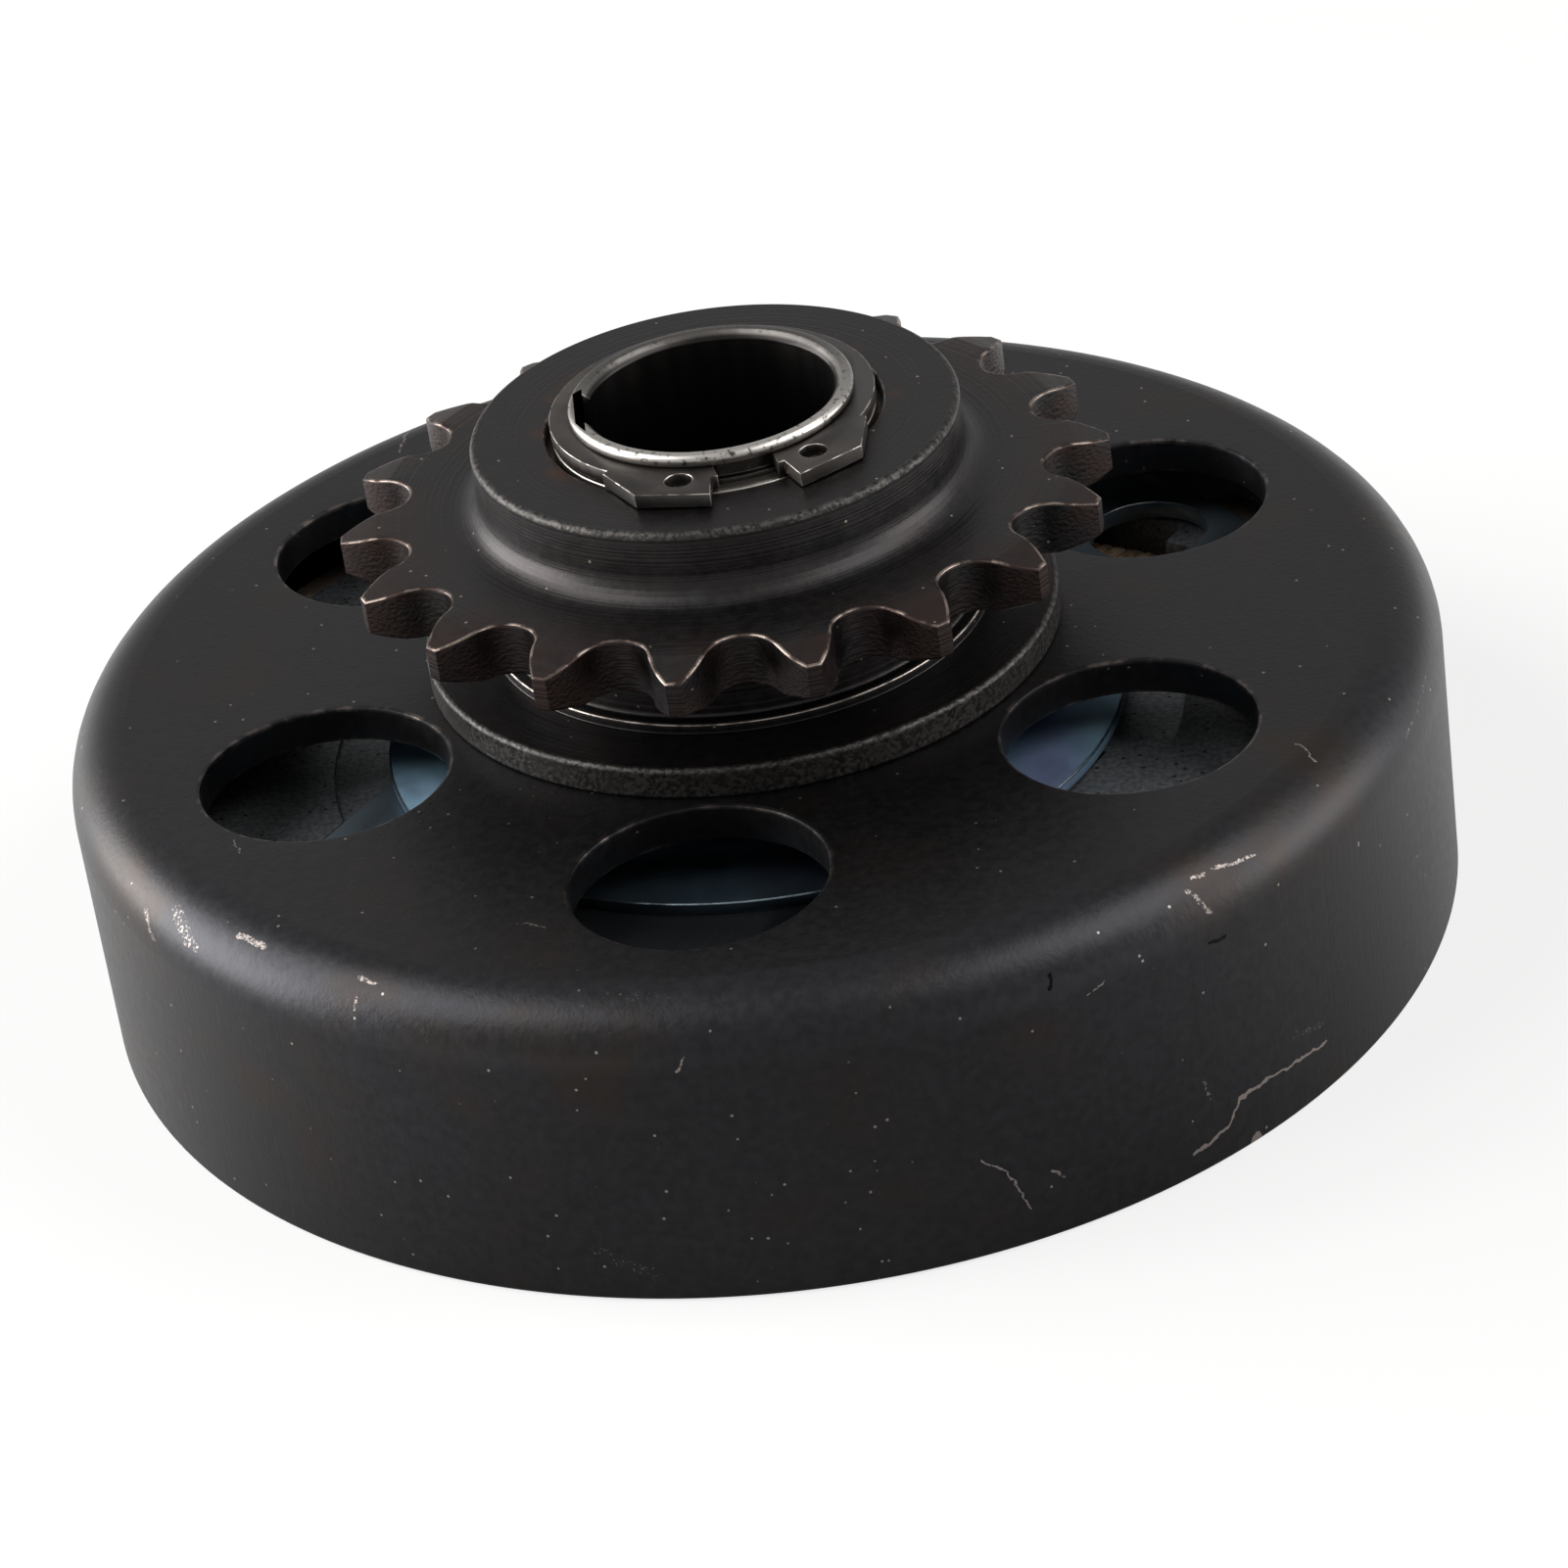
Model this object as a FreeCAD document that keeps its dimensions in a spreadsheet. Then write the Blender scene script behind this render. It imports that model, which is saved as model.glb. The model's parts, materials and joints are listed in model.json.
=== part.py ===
import FreeCAD, Part
import math
import os
import Sketcher

# A dry centrifugal clutch with a chain sprocket, in millimetres.
# +Z runs up along the shaft, from the drum's open rim to the snap ring, and the origin is the centre
# of that rim. The drum and its sprocket hub turn on a sleeve that is keyed to the engine's shaft.
# The sleeve carries a spider, which drives two shoes that fly outwards against two springs.

Vector = FreeCAD.Vector
UP = Vector(0, 0, 1)

# Driving sizes: name, value, what it is.
SIZES = [
    ("drum_outer_diameter", 108.0, "outside of the drum"),
    ("drum_height", 24.6, "open rim to outer face"),
    ("drum_wall", 3.0, "sheet thickness of the cup"),
    ("drum_shoulder_radius", 5.0, "outside radius of the shoulder"),
    ("window_inset", 1.05, "guide flange to the near edge of a window"),
    ("window_margin", 8.9, "far edge of a window to the drum's outside"),
    ("window_count", 6, "windows round the face"),
    ("window_angle", -99.6, "direction of the first window, degrees"),
    ("spigot_diameter", 34.0, "part of the sprocket hub that passes the drum's face"),
    ("spigot_clearance", 0.05, "radial, spigot in the drum's face"),
    ("swage_width", 3.0, "collar that is swaged over inside the drum"),
    ("swage_thickness", 2.0, "thickness of that collar"),
    ("guide_flange_width", 6.25, "flange on the drum's face, beyond the neck"),
    ("guide_flange_thickness", 2.5, "its thickness"),
    ("guide_flange_bevel", 0.35, "worn bevel on its upper edge"),
    ("neck_step_width", 1.0, "low step at the foot of the neck"),
    ("neck_step_height", 0.8, "height of that step"),
    ("neck_diameter", 37.2, "neck under the sprocket"),
    ("sprocket_rise", 6.8, "guide flange to the sprocket's underside"),
    ("sprocket_thickness", 4.3, "width of the toothed rim"),
    ("chain_pitch", 9.525, "pitch of the chain"),
    ("chain_roller_diameter", 5.08, "roller of the chain"),
    ("tooth_count", 18, "teeth on the sprocket"),
    ("tooth_tip_factor", 0.6, "height of a tooth, in pitches of the chain"),
    ("tooth_seat_clearance", 0.05, "seat radius over the roller's radius"),
    ("tooth_seat_angle", 67.5, "half of the seat's arc, degrees"),
    ("tooth_flank_radius", 8.0, "rounded flank above the seat"),
    ("tooth_bevel_depth", 0.8, "bevel of the teeth, along the axis"),
    ("tooth_bevel_width", 2.8, "the same bevel, across"),
    ("tooth_angle", -101.2, "direction of one tooth, degrees"),
    ("boss_diameter", 37.8, "boss above the sprocket"),
    ("boss_height", 5.6, "its height over the sprocket's face"),
    ("boss_root_radius", 2.1, "hollow fillet at its root"),
    ("boss_edge_bevel", 0.45, "bevel on its end"),
    ("recess_clearance", 0.48, "radial, washer recess round the bushing"),
    ("bushing_wall", 1.45, "wall of the bronze bushing"),
    ("bushing_run_clearance", 0.05, "radial, sleeve in the bushing"),
    ("bushing_seat_clearance", 0.02, "radial, bushing in the sprocket hub"),
    ("shaft_bore_diameter", 19.05, "bore for the engine's shaft"),
    ("bore_bevel", 0.6, "bevel at both mouths of the bore"),
    ("key_width", 4.76, "keyway in the bore"),
    ("key_depth", 0.85, "keyway beyond the bore's wall"),
    ("key_angle", 180.0, "direction of the keyway, degrees"),
    ("sleeve_wall", 1.475, "wall of the sleeve's journal"),
    ("sleeve_end_bevel", 0.3, "bevel on its outer end"),
    ("sleeve_end_land", 0.9, "sleeve's end over its groove"),
    ("sleeve_seat_step", 2.0, "seat that carries the rotor, beyond the journal"),
    ("sleeve_flange_width", 1.0, "flange at the sleeve's foot, beyond the seat"),
    ("sleeve_flange_thickness", 1.2, "its thickness"),
    ("sleeve_foot_height", 0.6, "sleeve's foot over the rim's plane"),
    ("seat_clearance", 0.02, "radial, rotor pieces on the sleeve's seat"),
    ("outer_washer_thickness", 1.0, "thrust washer under the snap ring"),
    ("inner_washer_width", 2.85, "thrust washer inside the drum"),
    ("inner_washer_thickness", 1.3, "its thickness"),
    ("washer_bore_clearance", 0.15, "radial, washers on the sleeve"),
    ("end_float", 0.2, "axial play inside the drum"),
    ("washer_float", 0.15, "axial play over the recess's floor"),
    ("circlip_float", 0.3, "axial play under the snap ring"),
    ("circlip_lift", 0.15, "snap ring over the boss's end"),
    ("circlip_thickness", 1.1, "thickness of the snap ring"),
    ("circlip_width", 2.05, "radial width of the ring"),
    ("circlip_groove_depth", 0.55, "groove in the sleeve"),
    ("circlip_groove_clearance", 0.05, "radial and axial, ring in its groove"),
    ("circlip_gap", 4.6, "opening between the lugs"),
    ("circlip_lug_rise", 2.45, "lug beyond the ring"),
    ("circlip_lug_angle", 24.0, "opening's middle to a lug's middle, degrees"),
    ("circlip_lug_width", 5.8, "width of a lug"),
    ("circlip_shoulder", 3.2, "slanted shoulder beside a lug"),
    ("circlip_hole_diameter", 2.1, "hole in a lug"),
    ("circlip_hole_shift", 0.25, "ring's edge to the middle of a lug's hole"),
    ("circlip_angle", -81.0, "direction of the opening, degrees"),
    ("rotor_angle", 53.0, "direction from the axis to the first spring, degrees"),
    ("disc_diameter", 58.4, "plated discs"),
    ("disc_thickness", 1.0, "their thickness"),
    ("guide_plate_gap", 4.5, "guide plate's ends to the drum"),
    ("guide_plate_margin", 2.3, "guide plate beyond its windows"),
    ("guide_plate_thickness", 1.5, "their thickness"),
    ("spring_line_inset", 10.35, "shoe's outside to the line of a spring"),
    ("spring_window_margin", 0.7, "round windows over the springs, beyond a spring's outside"),
    ("spring_window_shift", 0.1, "end of a spring's turns to a window's middle"),
    ("spider_rim", 2.0, "round middle of the spider, beyond its rivets"),
    ("spider_key_width", 12.0, "key that drives a shoe"),
    ("spider_key_length", 6.5, "key beyond the spider's round middle"),
    ("rivet_diameter", 3.6, "rivets through the rotor"),
    ("rivet_head_margin", 0.6, "sleeve's flange to a rivet's head"),
    ("rivet_head_diameter", 5.2, "rivet heads"),
    ("rivet_head_height", 0.7, "their height"),
    ("rivet_clearance", 0.05, "radial, rivets in their holes"),
    ("shoe_gap", 4.0, "opening between the two shoes at rest"),
    ("shoe_hub_clearance", 0.4, "shoe's hollow over the spider"),
    ("shoe_side_clearance", 0.3, "shoe's ends under the guide plates"),
    ("shoe_key_clearance", 0.15, "each side of the spider's key"),
    ("shoe_key_end_clearance", 0.7, "beyond the key's end"),
    ("shoe_pad_gap", 0.5, "shoe's raised faces under the discs"),
    ("shoe_pad_clearance", 0.6, "those faces from the guide plates' edges"),
    ("shoe_step_radius", 33.8, "low step in the raised faces"),
    ("shoe_step_depth", 0.4, "depth of that step"),
    ("lining_thickness", 2.6, "friction lining"),
    ("lining_bond", 0.05, "glue line under the lining"),
    ("lining_half_angle", 70.0, "half of the lining's arc, degrees"),
    ("lining_edge_inset", 0.4, "lining's edges from the raised faces"),
    ("lining_gap", 1.2, "lining to drum at rest"),
    ("spring_share", 0.49, "spring's outside, of the mean of shoe depth and spider thickness"),
    ("spring_index", 5, "mean diameter of a spring over its wire"),
    ("spring_turns", 21, "turns of a spring"),
    ("spring_groove_share", 0.4, "groove between two turns, in wires"),
    ("spring_loop_sink", 0.86, "end loop's middle line into the last turn, in wires"),
    ("spring_pocket_clearance", 0.4, "shoe's pocket round a spring"),
    ("spring_loop_clearance", 0.9, "shoe's slot beside a loop"),
    ("spring_end_clearance", 0.7, "shoe's pocket beyond a turn or loop"),
    ("pin_share", 0.465, "pin that holds a spring's loop, of the loop's inside"),
    ("pin_loop_clearance", 0.05, "pin from the loop's wire"),
    ("pin_hole_clearance", 0.02, "radial, pin in the shoe"),
    ("pin_inner_depth", 1.4, "pin's inner end beyond the pocket"),
    ("pin_outer_depth", 0.5, "pin's outer end under the lining"),
]

# Places worked out from the driving sizes: name, formula.
PLACES = [
    ("drum_radius", "size.drum_outer_diameter / 2"),
    ("drum_inner_radius", "drum_radius - size.drum_wall"),
    ("drum_inner_face", "size.drum_height - size.drum_wall"),
    ("drum_inner_shoulder", "size.drum_shoulder_radius - size.drum_wall"),
    ("drum_centre_hole_radius", "spigot_radius + size.spigot_clearance"),
    ("window_near_radius", "guide_flange_radius + size.window_inset"),
    ("window_far_radius", "drum_radius - size.window_margin"),
    ("window_radius", "(window_far_radius - window_near_radius) / 2"),
    ("window_circle_radius", "(window_far_radius + window_near_radius) / 2"),
    ("spigot_radius", "size.spigot_diameter / 2"),
    ("swage_radius", "spigot_radius + size.swage_width"),
    ("hub_foot", "drum_inner_face - size.swage_thickness"),
    ("guide_flange_radius", "neck_radius + size.guide_flange_width"),
    ("guide_flange_top", "size.drum_height + size.guide_flange_thickness"),
    ("guide_flange_bevel_radius", "guide_flange_radius - size.guide_flange_bevel"),
    ("guide_flange_bevel_base", "guide_flange_top - size.guide_flange_bevel"),
    ("neck_step_radius", "neck_radius + size.neck_step_width"),
    ("neck_step_top", "guide_flange_top + size.neck_step_height"),
    ("neck_radius", "size.neck_diameter / 2"),
    ("sprocket_base", "guide_flange_top + size.sprocket_rise"),
    ("sprocket_top", "sprocket_base + size.sprocket_thickness"),
    ("tooth_half_angle", "180deg / size.tooth_count"),
    ("pitch_radius", "size.chain_pitch / (2 * sin(tooth_half_angle))"),
    ("tooth_tip_radius", "size.chain_pitch * (size.tooth_tip_factor + 1 / tan(tooth_half_angle)) / 2"),
    ("tooth_bevel_radius", "tooth_tip_radius - size.tooth_bevel_width"),
    ("tooth_bevel_base", "sprocket_base + size.tooth_bevel_depth"),
    ("tooth_bevel_top", "sprocket_top - size.tooth_bevel_depth"),
    ("tooth_seat_radius", "size.chain_roller_diameter / 2 + size.tooth_seat_clearance"),
    ("tooth_cut_reach", "tooth_tip_radius + 1"),
    ("tooth_seat_edge", "tooth_seat_radius * sin(size.tooth_seat_angle * 1deg)"),
    ("tooth_gap_angle", "size.tooth_angle + 180 / size.tooth_count"),
    ("tooth_gap_base", "guide_flange_top + size.sprocket_rise / 2"),
    ("tooth_gap_length", "size.sprocket_rise / 2 + size.sprocket_thickness + size.boss_height"),
    ("boss_radius", "size.boss_diameter / 2"),
    ("boss_bevel_radius", "boss_radius - size.boss_edge_bevel"),
    ("boss_top", "sprocket_top + size.boss_height"),
    ("boss_bevel_base", "boss_top - size.boss_edge_bevel"),
    ("recess_floor", "outer_washer_base - size.washer_float"),
    ("recess_radius", "hub_bore_radius + size.recess_clearance"),
    ("bushing_bore_radius", "sleeve_radius + size.bushing_run_clearance"),
    ("bushing_radius", "bushing_bore_radius + size.bushing_wall"),
    ("hub_bore_radius", "bushing_radius + size.bushing_seat_clearance"),
    ("bore_radius", "size.shaft_bore_diameter / 2"),
    ("bore_mouth_radius", "bore_radius + size.bore_bevel"),
    ("key_bottom", "bore_radius + size.key_depth"),
    ("key_half_width", "size.key_width / 2"),
    ("sleeve_radius", "bore_radius + size.sleeve_wall"),
    ("sleeve_bevel_radius", "sleeve_radius - size.sleeve_end_bevel"),
    ("sleeve_seat_radius", "sleeve_radius + size.sleeve_seat_step"),
    ("sleeve_flange_radius", "sleeve_seat_radius + size.sleeve_flange_width"),
    ("sleeve_bore_base", "size.sleeve_foot_height + size.bore_bevel"),
    ("sleeve_top", "groove_top + size.sleeve_end_land"),
    ("sleeve_bevel_base", "sleeve_top - size.sleeve_end_bevel"),
    ("sleeve_bore_top", "sleeve_top - size.bore_bevel"),
    ("seat_bore_radius", "sleeve_seat_radius + size.seat_clearance"),
    ("outer_washer_radius", "bushing_radius"),
    ("outer_washer_base", "outer_washer_top - size.outer_washer_thickness"),
    ("outer_washer_top", "circlip_base - size.circlip_float"),
    ("inner_washer_radius", "washer_bore_radius + size.inner_washer_width"),
    ("inner_washer_base", "hub_foot - size.end_float - size.inner_washer_thickness"),
    ("washer_bore_radius", "sleeve_radius + size.washer_bore_clearance"),
    ("circlip_base", "boss_top + size.circlip_lift"),
    ("groove_radius", "sleeve_radius - size.circlip_groove_depth"),
    ("groove_base", "circlip_base - size.circlip_groove_clearance"),
    ("groove_top", "circlip_base + size.circlip_thickness + size.circlip_groove_clearance"),
    ("circlip_inner_radius", "groove_radius + size.circlip_groove_clearance"),
    ("circlip_outer_radius", "circlip_inner_radius + size.circlip_width"),
    ("lug_cos", "cos(size.circlip_lug_angle * 1deg)"),
    ("lug_sin", "sin(size.circlip_lug_angle * 1deg)"),
    ("lug_half_width", "size.circlip_lug_width / 2"),
    ("lug_reach", "circlip_outer_radius + size.circlip_lug_rise"),
    ("lug_near_x", "lug_reach * lug_cos + lug_half_width * lug_sin"),
    ("lug_near_y", "lug_reach * lug_sin - lug_half_width * lug_cos"),
    ("lug_far_x", "lug_reach * lug_cos - lug_half_width * lug_sin"),
    ("lug_far_y", "lug_reach * lug_sin + lug_half_width * lug_cos"),
    ("lug_middle_radius", "(circlip_inner_radius + circlip_outer_radius) / 2"),
    ("lug_root_x", "lug_middle_radius * lug_cos - (lug_half_width + size.circlip_shoulder) * lug_sin"),
    ("lug_root_y", "lug_middle_radius * lug_sin + (lug_half_width + size.circlip_shoulder) * lug_cos"),
    ("lug_hole_circle", "circlip_outer_radius + size.circlip_hole_shift"),
    ("lug_hole_x", "lug_hole_circle * lug_cos"),
    ("lug_hole_y", "lug_hole_circle * lug_sin"),
    ("lug_hole_radius", "size.circlip_hole_diameter / 2"),
    ("half_gap", "size.circlip_gap / 2"),
    ("rotor_base", "size.sleeve_foot_height + size.sleeve_flange_thickness"),
    ("rotor_top", "inner_washer_base"),
    ("lower_plate_base", "rotor_base + size.disc_thickness"),
    ("spider_base", "lower_plate_base + size.guide_plate_thickness"),
    ("upper_disc_base", "rotor_top - size.disc_thickness"),
    ("upper_plate_base", "upper_disc_base - size.guide_plate_thickness"),
    ("spider_thickness", "upper_plate_base - spider_base"),
    ("rotor_middle", "(upper_plate_base + spider_base) / 2"),
    ("rotor_back_angle", "size.rotor_angle + 180"),
    ("disc_radius", "size.disc_diameter / 2"),
    ("plate_end_radius", "drum_inner_radius - size.guide_plate_gap"),
    ("spring_window_offset", "spring_half_length + size.spring_window_shift"),
    ("plate_half_width", "spring_window_offset + spring_window_radius + size.guide_plate_margin"),
    ("spring_window_radius", "spring_radius + size.spring_window_margin"),
    ("spider_radius", "rivet_circle_radius + rivet_radius + size.spider_rim"),
    ("spider_key_reach", "spider_radius + size.spider_key_length"),
    ("spider_key_half_width", "size.spider_key_width / 2"),
    ("rivet_circle_radius", "sleeve_flange_radius + size.rivet_head_margin + rivet_head_radius"),
    ("rivet_offset", "rivet_circle_radius * sin(45deg)"),
    ("rivet_radius", "size.rivet_diameter / 2"),
    ("rivet_head_radius", "size.rivet_head_diameter / 2"),
    ("rivet_hole_radius", "rivet_radius + size.rivet_clearance"),
    ("rivet_crown_radius", "rivet_head_radius - size.rivet_head_height / 2"),
    ("rivet_shank_length", "rotor_top - rotor_base"),
    ("rivet_foot", "rotor_base - size.rivet_head_height"),
    ("lining_radius", "drum_inner_radius - size.lining_gap"),
    ("lining_seat_radius", "lining_radius - size.lining_thickness"),
    ("shoe_radius", "lining_seat_radius - size.lining_bond"),
    ("shoe_inner_radius", "spider_radius + size.shoe_hub_clearance"),
    ("shoe_end", "size.shoe_gap / 2"),
    ("shoe_thickness", "spider_thickness - 2 * size.shoe_side_clearance"),
    ("pad_thickness", "spider_thickness + 2 * size.guide_plate_thickness - 2 * size.shoe_pad_gap"),
    ("pad_edge", "plate_half_width + size.shoe_pad_clearance"),
    ("pad_top", "pad_thickness / 2"),
    ("step_floor", "pad_top - size.shoe_step_depth"),
    ("key_slot_half_width", "spider_key_half_width + size.shoe_key_clearance"),
    ("key_slot_end", "spider_key_reach + size.shoe_key_end_clearance"),
    ("lining_width", "pad_thickness - 2 * size.lining_edge_inset"),
    ("lining_outer_end", "lining_radius * cos(size.lining_half_angle * 1deg)"),
    ("lining_inner_end", "lining_seat_radius * cos(size.lining_half_angle * 1deg)"),
    ("shoe_depth", "shoe_radius - shoe_inner_radius"),
    ("spring_radius", "size.spring_share * sqrt(shoe_depth * spider_thickness) / 2"),
    ("spring_wire", "2 * spring_radius / (size.spring_index + 1)"),
    ("spring_groove_depth", "size.spring_groove_share * spring_wire"),
    ("spring_half_length", "size.spring_turns * spring_wire / 2"),
    ("loop_radius", "spring_radius - spring_wire / 2"),
    ("loop_bore_radius", "loop_radius - spring_wire / 2"),
    ("loop_middle", "spring_half_length + loop_radius - size.spring_loop_sink * spring_wire"),
    ("loop_end", "loop_middle + spring_radius"),
    ("loop_inside", "loop_middle + loop_bore_radius"),
    ("spring_line_radius", "shoe_radius - size.spring_line_inset"),
    ("pocket_inner", "spring_line_radius - spring_radius - size.spring_pocket_clearance"),
    ("pocket_outer", "spring_line_radius + spring_radius + size.spring_pocket_clearance"),
    ("pocket_end", "spring_half_length + size.spring_end_clearance"),
    ("loop_slot_half_width", "spring_wire / 2 + size.spring_loop_clearance"),
    ("loop_slot_inner", "spring_line_radius - loop_slot_half_width"),
    ("loop_slot_outer", "spring_line_radius + loop_slot_half_width"),
    ("loop_slot_end", "loop_end + size.spring_end_clearance"),
    ("pin_radius", "size.pin_share * loop_bore_radius"),
    ("pin_offset", "loop_inside - size.pin_loop_clearance - pin_radius"),
    ("pin_hole_radius", "pin_radius + size.pin_hole_clearance"),
    ("pin_inner_end", "pocket_inner - size.pin_inner_depth"),
    ("pin_outer_end", "sqrt(shoe_radius ^ 2 - (pin_offset + pin_radius) ^ 2) - size.pin_outer_depth"),
    ("pin_length", "pin_outer_end - pin_inner_end"),
]

doc = FreeCAD.newDocument("centrifugal_clutch")


def fill_sheet(name, rows, make_text):
    """One row for each size: its name, its value or formula under an alias, and a note."""
    sheet = doc.addObject("Spreadsheet::Sheet", name)
    for number, row in enumerate(rows, start=1):
        sheet.set(f"A{number}", row[0])
        sheet.set(f"B{number}", make_text(row[1]))
        sheet.setAlias(f"B{number}", row[0])
        if len(row) > 2:
            sheet.set(f"C{number}", row[2])
    doc.recompute()
    return sheet


size = fill_sheet("size", SIZES, str)
place = fill_sheet("place", PLACES, lambda formula: "=" + formula)
SIZE_NAMES = {row[0] for row in SIZES}


def value(name):
    """The number that a size or place has now."""
    sheet = size if name in SIZE_NAMES else place
    found = sheet.get(name)
    return float(getattr(found, "Value", found))


def reference(name):
    """How a formula names a size or place, with its sign."""
    if name.startswith("-"):
        return "-" + reference(name[1:])
    return ("size." if name in SIZE_NAMES else "place.") + name


def signed(name):
    return -value(name[1:]) if name.startswith("-") else value(name)


def bind(thing, prop, name):
    thing.setExpression(prop, reference(name))


def new_body(label):
    body = doc.addObject("PartDesign::Body", label)
    body.Label = label
    return body


def origin_feature(body, role):
    return next(f for f in body.Origin.OriginFeatures if f.Role == role)


def new_sketch(body, name, role="XY_Plane"):
    sketch = body.newObject("Sketcher::SketchObject", name)
    sketch.AttachmentSupport = [(origin_feature(body, role), "")]
    sketch.MapMode = "FlatFace"
    return sketch


def constrain(sketch, *parts, name=None):
    """Adds one constraint, bound to a size or place where it has one."""
    index = sketch.addConstraint(Sketcher.Constraint(*parts))
    if name:
        sketch.setExpression(f"Constraints[{index}]", reference(name))


def fix_point(sketch, edge, end, x, y):
    """Holds a point at two named distances from the origin; None puts it on that axis."""
    for name, kind, axis in ((x, "DistanceX", -2), (y, "DistanceY", -1)):
        if name is None:
            constrain(sketch, "PointOnObject", edge, end, axis)
        else:
            constrain(sketch, kind, -1, 1, edge, end, signed(name), name=name)


def add_outline(sketch, points):
    """A closed outline of straight lines, each corner at two named distances."""
    spots = [Vector(signed(x) if x else 0, signed(y) if y else 0, 0) for x, y in points]
    first = sketch.GeometryCount
    last = len(points) - 1
    for i in range(len(points)):
        sketch.addGeometry(Part.LineSegment(spots[i], spots[0 if i == last else i + 1]), False)
    for i in range(len(points)):
        constrain(sketch, "Coincident", first + i, 2, first + (0 if i == last else i + 1), 1)
    for i, (x, y) in enumerate(points):
        fix_point(sketch, first + i, 1, x, y)


def add_circle(sketch, radius, x=None, y=None):
    """A circle of a named radius, at the origin or at two named distances from it."""
    middle = Vector(signed(x) if x else 0, signed(y) if y else 0, 0)
    edge = sketch.addGeometry(Part.Circle(middle, UP, value(radius)), False)
    constrain(sketch, "Radius", edge, value(radius), name=radius)
    if x is None and y is None:
        constrain(sketch, "Coincident", edge, 3, -1, 1)
    else:
        fix_point(sketch, edge, 3, x, y)


def revolve(body, points, cut=False):
    """Turns a profile of radii and heights about the body's axis."""
    sketch = new_sketch(body, body.Label + ("_groove" if cut else "_profile"), "XZ_Plane")
    add_outline(sketch, points)
    kind = "Groove" if cut else "Revolution"
    feature = body.newObject("PartDesign::" + kind, f"{body.Label}_{kind.lower()}")
    feature.Profile = sketch
    feature.ReferenceAxis = (sketch, ["V_Axis"])
    feature.Angle = 360
    doc.recompute()
    return feature


def pad(body, sketch, thickness, midplane=False):
    feature = body.newObject("PartDesign::Pad", sketch.Name + "_pad")
    feature.Profile = sketch
    bind(feature, "Length", thickness)
    feature.Midplane = midplane
    doc.recompute()
    return feature


def pocket_through(body, sketch, both_ways=True):
    """Cuts a sketch right through the body."""
    before = body.Shape.Volume
    feature = body.newObject("PartDesign::Pocket", sketch.Name + "_cut")
    feature.Profile = sketch
    feature.Type = "ThroughAll"
    feature.Midplane = both_ways
    doc.recompute()
    if not feature.Shape.Volume < before:
        feature.Reversed = True
        doc.recompute()
    if not feature.Shape.Volume < before:
        raise RuntimeError(f"{feature.Name} cuts nothing")
    return feature


def polar_copies(body, feature, count):
    pattern = body.newObject("PartDesign::PolarPattern", feature.Name + "_round")
    pattern.Originals = [feature]
    pattern.Axis = (origin_feature(body, "Z_Axis"), [""])
    pattern.Angle = 360
    bind(pattern, "Occurrences", count)
    body.Tip = pattern
    doc.recompute()
    return pattern


def mirror_copies(body, features, role, name):
    mirror = body.newObject("PartDesign::Mirrored", name)
    mirror.Originals = features
    mirror.MirrorPlane = (origin_feature(body, role), [""])
    body.Tip = mirror
    doc.recompute()
    return mirror


def round_edges(body, feature, radius, spots):
    """Fillets the circular edges of a feature that run at the given radii and heights."""
    names = []
    for number, edge in enumerate(feature.Shape.Edges, start=1):
        curve = edge.Curve
        if not isinstance(curve, Part.Circle):
            continue
        for spot_radius, height in spots:
            if abs(curve.Radius - spot_radius) < 1e-4 and abs(curve.Center.z - height) < 1e-4:
                names.append(f"Edge{number}")
    if len(names) != len(spots):
        raise RuntimeError(f"{body.Label}: {len(names)} edges found to round, not {len(spots)}")
    fillet = body.newObject("PartDesign::Fillet", f"{feature.Name}_round")
    fillet.Base = (feature, names)
    bind(fillet, "Radius", radius)
    doc.recompute()
    return fillet


def stand(thing, height=None, angle=None):
    """Puts a piece at its height and turns it about the axis."""
    if angle:
        thing.Placement = FreeCAD.Placement(Vector(0, 0, 0), FreeCAD.Rotation(UP, 1))
        bind(thing, "Placement.Rotation.Angle", angle)
    if height:
        bind(thing, "Placement.Base.z", height)


# The drum: a pressed cup with a big rounded shoulder, six windows and a hole for the hub's spigot.
def make_drum():
    body = new_body("drum")
    cup = revolve(body, [
        ("drum_inner_radius", None),
        ("drum_radius", None),
        ("drum_radius", "drum_height"),
        ("drum_centre_hole_radius", "drum_height"),
        ("drum_centre_hole_radius", "drum_inner_face"),
        ("drum_inner_radius", "drum_inner_face"),
    ])
    outer_edge = (value("drum_radius"), value("drum_height"))
    inner_edge = (value("drum_inner_radius"), value("drum_inner_face"))
    outer = round_edges(body, cup, "drum_shoulder_radius", [outer_edge])
    round_edges(body, outer, "drum_inner_shoulder", [inner_edge])
    window = new_sketch(body, "drum_window")
    add_circle(window, "window_radius", x="window_circle_radius")
    polar_copies(body, pocket_through(body, window), "window_count")
    stand(body, angle="window_angle")
    return body


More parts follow.
